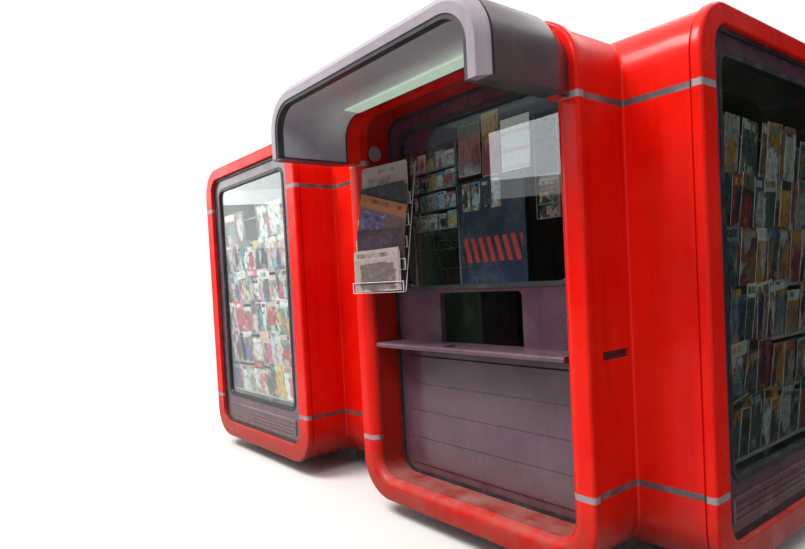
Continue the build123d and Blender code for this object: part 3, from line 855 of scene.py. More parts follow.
@dataclass(frozen=True)
class PrintedCover(Finish):
    """Generic printed cover: a ground, a soft round subject, a title band, a box and tick marks."""

    name: str = "printed_covers"
    inks: tuple[Colour, ...] = PRINT_INKS
    rows: float = 26.0
    patch_scale: float = 2.8
    patch_warp: Pair = (2.2, 3.0)
    patch_share: float = 0.85
    plain_share: float = 0.35
    bare_share: float = 0.30
    subject_height: float = 0.36
    title_start: float = 0.06
    title_levels: Pair = (0.83, 0.95)
    title_scale: Point = (7.0, 1.5, 1.0)
    box_width: float = 0.32
    box_foot: float = 0.07
    box_share: float = 0.8
    row_share: float = 0.45
    gloss: Pair = (0.24, 0.40)
    shine: float = 0.35

    def inked(self, g: Graph, value: Socket | Draw) -> Socket:
        """Pick one of the inks by a value from 0 to 1, or by a draw.

        Args:
            g: The node tree.
            value: The value or the draw.

        Returns:
            The ink's colour.
        """
        count = len(self.inks)
        value = g.drawn(value) if isinstance(value, Draw) else value
        return g.ramp(value, [(n / count, ink) for n, ink in enumerate(self.inks)], hard=True)

    def scenery(self, g: Graph) -> Socket:
        """Paint the ground in two inks, in large bent patches.

        Args:
            g: The node tree.

        Returns:
            The ground's colour.
        """
        _, _, spot = g.printed()
        scale, detail = self.patch_warp
        inputs = {"Vector": spot, "Scale": scale, "Detail": detail}
        warp = g.add("TexNoise", inputs).outputs["Color"]
        bent = g.vector("ADD", spot, warp)
        cells = g.add("TexVoronoi", {"Vector": bent, "Scale": self.patch_scale}).outputs["Color"]
        hue = g.add("SeparateColor", {"Color": cells}).outputs["Red"]
        shifted = g.sum("FRACT", g.sum("ADD", hue, g.drawn(Draw.PATCH_SHIFT)))
        patched = g.sum("GREATER_THAN", g.drawn(Draw.PATCHED), self.plain_share)
        share = g.product(patched, self.patch_share)
        return g.mix(share, self.inked(g, Draw.GROUND), self.inked(g, shifted))

    def subject(self, g: Graph) -> Socket:
        """Find how far a point lies in the soft round subject.

        Args:
            g: The node tree.

        Returns:
            A value from 0 to 1.
        """
        across, up, spot = g.printed()
        middle = g.drawn(Draw.SUBJECT_MIDDLE)
        level = g.drawn(Draw.SUBJECT_LEVEL)
        width = g.drawn(Draw.SUBJECT_WIDTH)
        aside = g.sum("DIVIDE", g.sum("SUBTRACT", across, middle), width)
        above = g.sum("DIVIDE", g.sum("SUBTRACT", up, level), self.subject_height)
        away = g.sum("ADD", g.product(aside, aside), g.product(above, above))
        away = g.sum("ADD", away, g.spread(g.noise(spot, 4.0, 4.0, 0.6), -0.7, 0.7))
        return g.span(away, 0.90, 1.05, 1.0, 0.0)

    def box(self, g: Graph) -> Socket:
        """Find the box that rows of tick marks stand in.

        Args:
            g: The node tree.

        Returns:
            1 in the box and 0 elsewhere.
        """
        across, up, _ = g.printed()
        start = g.drawn(Draw.BOX_START)
        head = g.span(g.drawn(Draw.BOX_HEAD), 0.2, 1.0, 0.0, 0.40)
        return g.product(g.within(across, start, g.sum("ADD", start, self.box_width)),
                         g.within(up, self.box_foot, head))

    def shader(self, g: Graph) -> Socket:
        """Print the ground, the subject, the title band and the box over each other.

        Args:
            g: The node tree.

        Returns:
            The shader.
        """
        across, up, spot = g.printed()
        page = g.mix(self.subject(g), self.scenery(g), self.inked(g, Draw.SUBJECT))
        tones = g.noise(spot, 5.0, 6.0, 0.72)
        page = g.mix(g.span(tones, 0.38, 0.50, 0.9, 0.0), page, self.inks[BLACK_INK])
        page = g.mix(g.span(tones, 0.57, 0.70, 0.0, 0.55), page, self.inks[PALE_INK])
        title = self.inked(g, Draw.TITLE)
        band = g.product(g.sum("GREATER_THAN", up, g.drawn(Draw.MASTHEAD_FOOT)),
                         g.sum("GREATER_THAN", g.drawn(Draw.HAS_MASTHEAD), self.bare_share))
        page = g.mix(band, page, self.inked(g, Draw.MASTHEAD))
        marks = g.sum("GREATER_THAN", g.noise(spot, self.title_scale, 1.0), 0.42)
        words = g.product(g.within(up, *self.title_levels),
                          g.within(across, self.title_start, g.drawn(Draw.TITLE_END)))
        page = g.mix(g.product(words, marks), page, title)
        box = self.box(g)
        page = g.mix(g.product(box, self.box_share), page, self.inked(g, Draw.BOX))
        ticks = g.sum("GREATER_THAN", g.noise(spot, (26.0, self.rows, 1.0)), 0.47)
        ticks = g.product(g.striped(up, self.rows, self.row_share), ticks, box)
        page = g.mix(ticks, page, title)
        rough = g.spread(g.noise(spot, 3.0), *self.gloss)
        return g.surface(base_color=page, roughness=rough, specular_ior_level=self.shine,
                         normal=g.bump(g.noise(spot, 3.2, 2.0), 0.004))


@dataclass(frozen=True)
class Newsprint(Finish):
    """Generic newspaper: greyed paper with a soft head, columns of ticks and a blurred picture."""

    name: str
    paper: Colour
    ink: Colour
    picture: Area
    tint: Colour
    head: Colour | None = None
    light: Colour = (0.50, 0.46, 0.43)
    crease_painted_shade: Colour = (0.16, 0.13, 0.12)
    columns: float = 5.0
    column_reach: Pair = (0.07, 0.93)
    rows: float = 44.0
    row_share: float = 0.5
    body_levels: Pair = (0.03, 0.80)
    body_share: float = 0.5
    head_fade: Pair = (0.66, 0.72)
    title_levels: Pair = (0.84, 0.95)
    title_reach: Pair = (0.05, 0.93)
    picture_share: float = 0.92
    picture_warp: float = 0.05
    crease_shade_share: float = 0.3
    crease_depth: float = 0.002
    blots: Patches = Patches((5.0, 2.0, 1.0), 3.0, 0.5, 0.40, 0.60, 0.8)
    creases: Patches = Patches(24.0, 5.0, 0.7, *NOISE_REACH)

    def scene(self, g: Graph) -> Socket:
        """Paint the blurred picture in its ink, its tint and its light.

        Args:
            g: The node tree.

        Returns:
            The picture's colour.
        """
        tones = g.noise(g.printed()[2], 6.0, 6.0, 0.7)
        scene = g.mix(g.span(tones, 0.34, 0.52), self.ink, self.tint)
        return g.mix(g.span(tones, 0.54, 0.68, 0.0, 0.8), scene, self.light)

    def shader(self, g: Graph) -> Socket:
        """Print the columns, the head and the picture, and crease the paper.

        Args:
            g: The node tree.

        Returns:
            The shader.
        """
        across, up, spot = g.printed()
        left, right, foot, top = self.picture
        gutter = g.within(g.repeated(across, self.columns), *self.column_reach)
        words = g.sum("GREATER_THAN", g.noise(spot, (70.0, self.rows, 1.0)), 0.44)
        body = g.product(g.striped(up, self.rows, self.row_share), gutter, words, self.body_share)
        body = g.product(body, g.within(up, *self.body_levels))
        colour = g.mix(body, self.paper, self.ink)
        if self.head is not None:
            colour = g.mix(g.span(up, *self.head_fade), colour, self.head)
        title = g.product(g.within(up, *self.title_levels), g.within(across, *self.title_reach))
        colour = g.mix(g.product(self.blots.shown(g, spot), title), colour, self.ink)
        warp = self.picture_warp
        warp = g.spread(g.noise(spot, 5.0, 4.0, 0.6), -warp, warp)
        window = g.product(g.within(g.sum("ADD", across, warp), left, right),
                           g.within(g.sum("ADD", up, warp), foot, top))
        colour = g.mix(g.product(window, self.picture_share), colour, self.scene(g))
        # Painted shade in the creases: the paper darkens where the crease noise that bumps it is
        # high
        crease = self.creases.shown(g)
        colour = g.mix(g.product(crease, self.crease_shade_share), colour, self.crease_painted_shade)
        return g.surface(base_color=colour, roughness=0.8, specular_ior_level=0.25,
                         normal=g.bump(crease, self.crease_depth))


@dataclass(frozen=True)
class Poster(Finish):
    """Generic poster: soft patches that run through a row of colours from foot to head."""

    name: str
    stops: tuple[tuple[float, Colour], ...]
    light: Colour = (0.62, 0.58, 0.52)
    dark: Colour = (0.02, 0.018, 0.02)
    drift: float = 0.22
    inner_reach: Pair = (0.02, 0.98)
    inner_levels: Pair = (0.012, 0.988)
    edge_share: float = 0.45

    def shader(self, g: Graph) -> Socket:
        """Run through the colours, with dark and light patches and a pale edge.

        Args:
            g: The node tree.

        Returns:
            The shader.
        """
        across, up, spot = g.printed()
        drift = g.span(g.noise(spot, 3.5, 5.0, 0.65), 0.25, 0.75, -self.drift, self.drift)
        colour = g.ramp(g.sum("ADD", up, drift), self.stops)
        tones = g.noise(spot, 6.5, 6.0, 0.75)
        colour = g.mix(g.span(tones, 0.36, 0.52, 0.8, 0.0), colour, self.dark)
        colour = g.mix(g.span(tones, 0.58, 0.70, 0.0, 0.6), colour, self.light)
        inner = g.product(g.within(across, *self.inner_reach), g.within(up, *self.inner_levels))
        colour = g.mix(g.span(inner, 0.0, 1.0, self.edge_share, 0.0), colour, self.light)
        return g.surface(base_color=colour, roughness=0.42, specular_ior_level=0.35,
                         normal=g.bump(g.noise(spot, 4.0, 3.0), 0.003))


@dataclass(frozen=True)
class RuledSheet(Finish):
    """White printed sheet with pale bands across it and rows of tick marks between them."""

    name: str = "ruled_sheet"
    paper: Colour = (0.66, 0.67, 0.68)
    band: Colour = (0.60, 0.30, 0.34)
    tick: Colour = (0.28, 0.34, 0.36)
    bands: float = 3.0
    band_reach: Pair = (0.06, 0.26)
    band_share: float = 0.7
    rows: float = 21.0
    row_share: float = 0.5
    columns: float = 4.0
    column_reach: Pair = (0.10, 0.86)
    tick_share: float = 0.55

    def shader(self, g: Graph) -> Socket:
        """Rule the bands and set the tick marks in columns.

        Args:
            g: The node tree.

        Returns:
            The shader.
        """
        across, up, spot = g.printed()
        banded = g.within(g.repeated(up, self.bands), *self.band_reach)
        colour = g.mix(g.product(banded, self.band_share), self.paper, self.band)
        ticks = g.sum("GREATER_THAN", g.noise(spot, (22.0, self.rows, 1.0)), 0.5)
        column = g.within(g.repeated(across, self.columns), *self.column_reach)
        marks = g.product(ticks, g.striped(up, self.rows, self.row_share), column, self.tick_share)
        colour = g.mix(g.product(marks, g.sum("SUBTRACT", 1.0, banded)), colour, self.tick)
        return g.surface(base_color=colour, roughness=0.55,
                         normal=g.bump(g.noise(spot, 3.0, 3.0), 0.004))


@dataclass(frozen=True)
class PaintedBoard(Finish):
    """Dark painted board with scuffs and a plain band of slanted bars."""

    name: str = "display_board_paint"
    colour: Colour = (0.012, 0.018, 0.045)
    scuffed: Colour = (0.05, 0.06, 0.09)
    bars: Colour = (0.42, 0.03, 0.02)
    bar_levels: Pair = (1.565, 1.705)
    bar_reach: Pair = (-0.13, 0.31)
    bar_count: float = 17.0
    bar_share: float = 0.52
    bar_slant: float = 0.28
    scuffs: Patches = Patches(9.0, 6.0, 0.7, 0.46, 0.72)

    def shader(self, g: Graph) -> Socket:
        """Scuff the paint and lay the worn bars over it.

        Args:
            g: The node tree.

        Returns:
            The shader.
        """
        x, _, z = g.axes()
        colour = self.scuffs.over(g, self.colour, self.scuffed)
        slant = g.sum("ADD", x, g.product(z, self.bar_slant))
        bars = g.product(g.striped(slant, self.bar_count, self.bar_share),
                         g.within(x, *self.bar_reach), g.within(z, *self.bar_levels),
                         g.span(g.noise(g.place(), 40.0, 4.0), 0.30, 0.45, 0.55, 0.95))
        return g.surface(base_color=g.mix(bars, colour, self.bars), roughness=0.4,
                         specular_ior_level=0.3, normal=g.grain(80.0, 3.0, 0.0002))


@dataclass(frozen=True)
class PageEdges(Finish):
    """The cut edges of many pages."""

    name: str = "page_edges"
    paper: Colour = (0.60, 0.57, 0.51)
    shade: Colour = (0.30, 0.28, 0.25)
    leaf_scale: Point = (900.0, 900.0, 40.0)

    def shader(self, g: Graph) -> Socket:
        """Part the leaves by thin lines of shade.

        Args:
            g: The node tree.

        Returns:
            The shader.
        """
        leaves = g.noise(g.place(), self.leaf_scale)
        colour = g.mix(g.span(leaves, 0.4, 0.65), self.paper, self.shade)
        return g.surface(base_color=colour, roughness=0.85, normal=g.bump(leaves, 0.0003))


class Finishes:
    """The kiosk's own finishes, each named for what it covers."""

    TRIM = GelCoat("red_gel_coat", (0.74, 0.005, 0.001), (0.76, 0.018, 0.007),
                   (0.40, 0.003, 0.001), dust=0.20, shine=0.13, lacquer=0.05)
    # Inside, the shell is a grey coat set dark as painted shade of the unlit room
    SHELL = replace(TRIM, name="red_gel_coat_painted_shade_inside", inner=(0.050, 0.052, 0.058))
    # The liner is the walls' red at about half the brightness: painted shade under the hood
    LINER = LinerCoat("liner_gel_coat_painted_shade", (0.36, 0.007, 0.003), (0.40, 0.020, 0.010),
                      (0.20, 0.003, 0.002), shine=TRIM.shine, lacquer=TRIM.lacquer,
                      inner=SHELL.inner)
    FRAME = GelCoat("window_frame_gel_coat", (0.080, 0.036, 0.056), (0.125, 0.070, 0.096),
                    (0.030, 0.013, 0.021), (0.20, 0.34), dust=0.15, shine=0.42, lacquer=0.22)
    # Skin and front ring are one mauve-grey plastic: the skin is set darker as painted shade of its
    # sides, the ring paler as painted light on its front
    HOOD = GelCoat("hood_gel_coat_painted_shade", (0.062, 0.040, 0.046), (0.115, 0.080, 0.092),
                   (0.030, 0.018, 0.022), (0.30, 0.44), dust=0.22, shine=0.28, lacquer=0.05)
    RING = GelCoat("hood_ring_gel_coat_painted_light", (0.29, 0.245, 0.280), (0.37, 0.325, 0.365),
                   (0.16, 0.125, 0.15), (0.28, 0.42), dust=0.2)
    SKIRT = GelCoat("hood_skirt_gel_coat", (0.040, 0.022, 0.030), (0.065, 0.042, 0.052),
                    (0.022, 0.014, 0.018))
    LINING = LitLining()
    LAMP = Opal("lamp_diffuser", (0.50, 0.66, 0.52), (0.44, 0.60, 0.48), 0.4, 0.52)
    DISC = Opal("cheek_disc_moulding", (0.30, 0.25, 0.25), (0.18, 0.13, 0.13), 0.45)
    RUBBER = WornCoat("seal_rubber", (0.012, 0.012, 0.014), (0.045, 0.044, 0.048),
                      Patches(14.0, 5.0, 0.65, 0.45, 0.75), (0.42, 0.66), 420.0, 0.00012)
    STRIP = StripMetal()
    PANE = Pane()
    CONCRETE = CastConcrete()
    FLOOR = FloorSheet()
    RACK = WornCoat("rack_coating", (0.16, 0.17, 0.18), (0.30, 0.31, 0.32))
    WIRE = WornCoat("white_wire_coating", (0.62, 0.64, 0.64), (0.40, 0.40, 0.40))
    METAL = BrushedAluminium()
    COVERS = PrintedCover()
    SHADED_COVERS = PrintedCover("shaded_covers", PAINTED_SHADE_INKS)
    CARDS = PrintedCover("printed_cards", CARD_INKS, 9.0, 3.0)
    BOARD = PaintedBoard()
    POSTER_RED = Poster("poster_red", (
        (0.0, (0.30, 0.26, 0.30)), (0.25, (0.10, 0.03, 0.04)), (0.55, (0.36, 0.07, 0.05)),
        (0.80, (0.16, 0.08, 0.05)), (1.0, (0.04, 0.16, 0.14))))
    POSTER_GOLD = Poster("poster_gold", (
        (0.0, (0.22, 0.015, 0.03)), (0.45, (0.30, 0.03, 0.05)),
        (0.62, (0.40, 0.22, 0.10)), (1.0, (0.46, 0.32, 0.12))))
    RULED = RuledSheet()
    EDGES = PageEdges()
    # The papers' colours are set darker as painted shade under the hood
    NEWSPRINTS = (
        Newsprint("newsprint_cream", (0.42, 0.355, 0.315), (0.11, 0.09, 0.09),
                  (0.10, 0.62, 0.42, 0.74), (0.26, 0.22, 0.22)),
        Newsprint("newsprint_dark", (0.014, 0.018, 0.024), (0.030, 0.028, 0.040),
                  (0.08, 0.90, 0.15, 0.80), (0.022, 0.030, 0.038), light=(0.05, 0.09, 0.10)),
        Newsprint("newsprint_violet", (0.13, 0.07, 0.07), (0.020, 0.014, 0.030),
                  (0.05, 0.60, 0.10, 0.62), (0.09, 0.075, 0.20), (0.34, 0.115, 0.045),
                  (0.38, 0.34, 0.42)),
        Newsprint("newsprint_navy", (0.012, 0.012, 0.022), (0.11, 0.022, 0.030),
                  (0.10, 0.80, 0.20, 0.84), (0.020, 0.022, 0.055), light=(0.20, 0.03, 0.04)),
        Newsprint("newsprint_grey", (0.45, 0.385, 0.35), (0.07, 0.050, 0.050),
                  (0.14, 0.92, 0.02, 0.70), (0.14, 0.095, 0.09), light=(0.34, 0.27, 0.24)),
    )


# Meshes


def added(name: str, data: bpy.types.ID) -> bpy.types.Object:
    """Put a new object into the scene.

    Args:
        name: The object's name.
        data: Its mesh, lamp or camera.

    Returns:
        The new object.
    """
    made = bpy.data.objects.new(name, data)
    bpy.context.scene.collection.objects.link(made)
    return made


def flat(name: str, corners: Sequence[Point], finish: Finish) -> bpy.types.Object:
    """Add a flat sheet of one face.

    Args:
        name: The sheet's name.
        corners: Its four corners in turn.
        finish: Its finish.

    Returns:
        The new object.
    """
    mesh = bpy.data.meshes.new(name)
    mesh.from_pydata(corners, [], [(0, 1, 2, 3)])
    mesh.materials.append(finish.material())
    return added(name, mesh)


@dataclass
class Draft:
    """Faces of one piece under construction, with their print places and issue numbers."""

    points: list[Vector] = field(default_factory=list)
    faces: list[tuple[int, ...]] = field(default_factory=list)
    prints: list[list[Pair]] = field(default_factory=list)
    issues: list[float] = field(default_factory=list)
    slots: list[int] = field(default_factory=list)

    def face(self, corners: Sequence[int], prints: Sequence[Pair], issue: float,
             slot: int) -> None:
        """Add one face.

        Args:
            corners: The numbers of its points.
            prints: The place of each corner on the printed cover.
            issue: The issue's own number.
            slot: The finish that it shows.
        """
        self.faces.append(tuple(corners))
        self.prints.append(list(prints))
        self.issues.append(issue)
        self.slots.append(slot)

    def sheet(self, front: Surface, thick: float, steps: tuple[int, int], issue: float,
              cover: int = 0, edge: int = 1) -> None:
        """Add a closed sheet behind a surface.

        Args:
            front: The printed surface, for places from 0 to 1 across and up.
            thick: How far behind it the sheet's back lies.
            steps: How many faces it has across and up.
            issue: The issue's own number.
            cover: The finish of the front and the back.
            edge: The finish of the edges.
        """
        wide, high = steps
        start = len(self.points)
        for depth in (0.0, thick):
            for j in range(high + 1):
                for i in range(wide + 1):
                    self.points.append(front(i / wide, j / high) + Vector((0.0, depth, 0.0)))
        layer = (wide + 1) * (high + 1)

        def at(i: int, j: int, side: int) -> int:
            """Give the number of a point of the front, 0, or the back, 1."""
            return start + side * layer + j * (wide + 1) + i

        for j in range(high):
            for i in range(wide):
                corners = [(i, j), (i + 1, j), (i + 1, j + 1), (i, j + 1)]
                spots = [(a / wide, b / high) for a, b in corners]
                self.face([at(a, b, 0) for a, b in corners], spots, issue, cover)
                spots = [(1 - u, v) for u, v in reversed(spots)]
                self.face([at(a, b, 1) for a, b in reversed(corners)], spots, issue, cover)
        rim = [(i, 0) for i in range(wide)] + [(wide, j) for j in range(high)] \
            + [(wide - i, high) for i in range(wide)] + [(0, high - j) for j in range(high)]
        for n, (a, b) in enumerate(rim):
            c, d = rim[(n + 1) % len(rim)]
            corners = [at(a, b, 0), at(a, b, 1), at(c, d, 1), at(c, d, 0)]
            self.face(corners, [(0.0, 0.0)] * 4, issue, edge)

    def piece(self, name: str, finishes: Sequence[Finish], slot: str,
              move: Matrix) -> bpy.types.Object:
        """Turn the draft into a piece of the kiosk.

        Args:
            name: The piece's name.
            finishes: Its finishes, in the order of their numbers.
            slot: The record's material slot for it; not used.
            move: The move that carries it to its place.

        Returns:
            The new object.
        """
        mesh = bpy.data.meshes.new(name)
        mesh.from_pydata([move @ p for p in self.points], [], self.faces)
        layer = mesh.uv_layers.new(name="cover")
        spots = [spot for corners in self.prints for spot in corners]
        layer.data.foreach_set("uv", [value for spot in spots for value in spot])
        issue = mesh.attributes.new("issue", "FLOAT", "FACE")
        issue.data.foreach_set("value", self.issues)
        mesh.polygons.foreach_set("material_index", self.slots)
        for finish in finishes:
            mesh.materials.append(finish.material())
        mesh.update()
        made = added(name, mesh)
        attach(made, "root")
        log.info("%s: %d faces", name, len(mesh.polygons))
        return made


# The moulded body


@dataclass(frozen=True)
class Dressing:
    """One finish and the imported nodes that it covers."""

    finish: Finish
    endings: tuple[str, ...]

    def dress(self) -> None:
        """Put the finish on every node whose name has one of the endings."""
        for name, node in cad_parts.items():
            if name.endswith(self.endings):
                node.data.materials.clear()
                node.data.materials.append(self.finish.material())
                log.info("%s: %s", name, self.finish.name)


@dataclass(frozen=True)
class Bodywork:
    """The shells, window units, hood and door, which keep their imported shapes."""

    dressings: tuple[Dressing, ...] = (
        Dressing(Finishes.SHELL, ("_base_shell", "_corner_walls", "_roof_shell")),
        Dressing(Finishes.LINER, ("sales_liner",)),
        Dressing(Finishes.TRIM, ("hood_neck",)),
        Dressing(Finishes.FRAME, ("_frame", "_sill_panel", "door_leaf", "sales_counter")),
        Dressing(Finishes.HOOD, ("hood_skin",)),
        Dressing(Finishes.RING, ("hood_front_ring",)),
        Dressing(Finishes.SKIRT, ("hood_skirt", "slot_plate")),
        Dressing(Finishes.LINING, ("hood_lining",)),
        Dressing(Finishes.LAMP, ("hood_lamp",)),
        Dressing(Finishes.DISC, ("cheek_disc",)),
        Dressing(Finishes.RUBBER, ("_seals", "coupling_seal")),
        Dressing(Finishes.STRIP, ("_joint_strips",)),
        Dressing(Finishes.PANE, ("_glass",)),
        Dressing(Finishes.CONCRETE, ("_plinth",)),
        Dressing(Finishes.FLOOR, ("_floor",)),
        Dressing(Finishes.RACK, ("_front_rack", "_end_rack", "sales_card_rack")),
        Dressing(Finishes.WIRE, ("newspaper_rack",)),
        Dressing(Finishes.BOARD, ("sales_board",)),
        Dressing(Finishes.METAL, ("door_handle", "door_hinges")),
    )

    def build(self) -> None:
        """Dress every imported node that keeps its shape."""
        for dressing in self.dressings:
            dressing.dress()


# Stock


@dataclass(frozen=True)
class MagazineRack:
    """Magazines that stand in rows on the ledges of a rack, each over the edge of the next."""

    name: str
    node: str
    side: Side
    module: Module
    seed: int
    top_row_share: float
    covers: PrintedCover
    row_share: float = 0.97
    first_ledge: float = OPENING_FOOT + 0.306
    row_pitch: float = 0.268
    rows: int = 6
    width: float = 1.20
    foot: float = -1.0930
    lean: float = 0.090
    height: float = 0.296
    height_shares: tuple[float, ...] = (0.80, 0.93, 0.97, 1.0)
    widths: Pair = (0.15, 0.215)
    thicknesses: Pair = (0.002, 0.004)
    most_turn: float = 6.0
    turn_spread: float = 2.6
    most_curl: float = 0.006
    curl_height: float = 0.03
    most_belly: float = 0.0015
    shingle: float = 0.042
    steps: tuple[float, ...] = (0.06, 0.085, 0.11, 0.14, 0.17)
    step_spread: Pair = (0.9, 1.1)
    least_room: float = 0.09
    faces: tuple[int, int] = (5, 5)

    def magazine(self, draft: Draft, x: float, level: float, chance: random.Random) -> None:
        """Stand one magazine on its ledge.

        Args:
            draft: The piece that it joins.
            x: The place of its left edge along the rack.
            level: The height of its ledge.
            chance: The source of its small differences.
        """
        wide = min(chance.uniform(*self.widths), self.width / 2 - x)
        high = self.height * chance.choice(self.height_shares)
        thick = chance.uniform(*self.thicknesses)
        turn = max(-self.most_turn, min(self.most_turn, chance.gauss(0.0, self.turn_spread)))
        turn = math.radians(turn)
        curl = chance.uniform(0.0, self.most_curl)
        belly = chance.uniform(-self.most_belly, self.most_belly)
        issue = chance.random()

        def front(u: float, v: float) -> Vector:
            """Shape the cover, which leans on the ledge above, bellies and curls at its head.

            Args:
                u: The place across the cover.
                v: The place up the cover.

            Returns:
                The point.
            """
            across = (u - 0.5) * wide
            up = v * high
            over = max(0.0, up - self.row_pitch)
            back = -self.lean * (up - over) + curl * over / self.curl_height
            back += belly * math.sin(math.pi * u) - self.shingle * wide * (1.0 - u)
            droop = math.sin(turn) * (across + math.copysign(wide / 2, turn))
            side = x + wide / 2 + math.cos(turn) * across - math.sin(turn) * up
            return Vector((side, self.foot + back, level + math.cos(turn) * up + droop))

        draft.sheet(front, thick, self.faces, issue)

    def build(self) -> None:
        """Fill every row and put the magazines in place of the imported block."""
        chance = random.Random(self.seed)
        draft = Draft()
        for row in range(self.rows):
            level = self.first_ledge + row * self.row_pitch
            x = -self.width / 2
            share = self.top_row_share if row == self.rows - 1 else self.row_share
            while x < self.width / 2 - self.least_room:
                if chance.random() < share:
                    self.magazine(draft, x, level, chance)
                x += chance.choice(self.steps) * chance.uniform(*self.step_spread)
        move = carried(self.side, self.module)
        piece = draft.piece(self.name, (self.covers, Finishes.EDGES), "paper", move)
        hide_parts(self.node)


class Print(Enum):
    """What stands behind the sales glass, each by the number of its finish."""

    CARD = 0
    RED_POSTER = 1
    GOLD_POSTER = 2
    RULED_SHEET = 3
    COVER = 4
    EDGE = 5


@dataclass(frozen=True)
class SalesDisplay:
    """Cards, posters, pictures and papers behind the glass, placed by shares of the glass."""

    seed: int = 23
    half_width: float = 0.604
    foot: float = 1.445
    head: float = 2.403
    plane: float = -0.9286
    thick: float = 0.0012
    wave: float = 0.0012
    card_place: Area = (0.040, 0.365, 0.355, 0.860)
    card_rows: int = 4
    card_columns: int = 5
    card_widths: Pair = (0.90, 1.06)
    card_heights: Pair = (0.72, 0.88)
    card_gap: float = 0.002
    card_curl: float = 0.002
    sheet_places: tuple[tuple[Print, Area], ...] = (
        (Print.RED_POSTER, (0.401, 0.537, 0.642, 0.945)),
        (Print.GOLD_POSTER, (0.550, 0.649, 0.616, 0.976)),
        (Print.RULED_SHEET, (0.661, 0.819, 0.616, 0.905)),
    )
    sheet_curl: float = 0.008
    picture_place: Area = (0.405, 0.650, 0.433, 0.598)
    pictures: int = 4
    picture_gap: float = 0.004
    picture_curl: float = 0.003
    pocket_place: Area = (0.840, 0.938, 0.336, 0.560)
    pocket_papers: int = 4
    pocket_depth: float = 0.016
    pocket_step: float = 0.004
    pocket_drop: float = 0.018
    faces: tuple[int, int] = (6, 6)

    def spot(self, across: float, up: float) -> Pair:
        """Turn shares of the glass into a place across and a height."""
        return (2 * across - 1) * self.half_width, self.foot + up * (self.head - self.foot)

    def hang(self, draft: Draft, place: Area, chance: random.Random, cover: Print, curl: float,
             depth: float = 0.0) -> None:
        """Hang or stand one print.

        Args:
            draft: The piece that it joins.
            place: Its left, right, foot and head, as shares of the glass.
            chance: The source of its small differences.
            cover: What it is.
            curl: How far its lower corners stand forward.
            depth: How far behind the display's front it stands.
        """
        x, low = self.spot(place[0], place[2])
        end, high = self.spot(place[1], place[3])
        sway = chance.uniform(-1.0, 1.0)

        def front(u: float, v: float) -> Vector:
            """Shape the printed side, whose free corners curl.

            Args:
                u: The place across the print.
                v: The place up the print.

            Returns:
                The point.
            """
            lift = curl * (1.0 - v) ** 2 * (0.4 + 0.6 * (u if sway > 0 else 1.0 - u) ** 2)
            wave = self.wave * math.sin(5.0 * u + 3.0 * sway) * (1.0 - v)
            return Vector((x + u * (end - x), self.plane + depth - lift + wave,
                           low + v * (high - low)))

        draft.sheet(front, self.thick, self.faces, chance.random(), cover.value,
                    Print.EDGE.value)

    def build(self) -> None:
        """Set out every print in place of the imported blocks."""
        chance = random.Random(self.seed)
        draft = Draft()
        left, right, foot, head = self.card_place
        wide, high = (right - left) / self.card_columns, (head - foot) / self.card_rows
        for row in range(self.card_rows):
            for column in range(self.card_columns):
                start, level = left + column * wide, foot + row * high
                place = (start + self.card_gap, start + wide * chance.uniform(*self.card_widths),
                         level, level + high * chance.uniform(*self.card_heights))
                self.hang(draft, place, chance, Print.CARD, self.card_curl)
        for cover, place in self.sheet_places:
            self.hang(draft, place, chance, cover, self.sheet_curl)
        left, right, foot, head = self.picture_place
        wide = (right - left) / self.pictures
        for n in range(self.pictures):
            place = (left + n * wide + self.picture_gap, left + (n + 1) * wide - self.picture_gap,
                     foot, head)
            self.hang(draft, place, chance, Print.CARD, self.picture_curl)
        left, right, foot, head = self.pocket_place
        for n in range(self.pocket_papers):
            place = (left, right - self.pocket_step * n, foot, head - self.pocket_drop * n)
            depth = self.pocket_depth + self.pocket_step * (self.pocket_papers - n)
            self.hang(draft, place, chance, Print.COVER, 0.0, depth)
        finishes = (Finishes.CARDS, Finishes.POSTER_RED, Finishes.POSTER_GOLD, Finishes.RULED,
                    Finishes.COVERS, Finishes.EDGES)
        piece = draft.piece("sales_display_prints", finishes, "paper", Matrix.Identity(4))
        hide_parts("sales_prints")


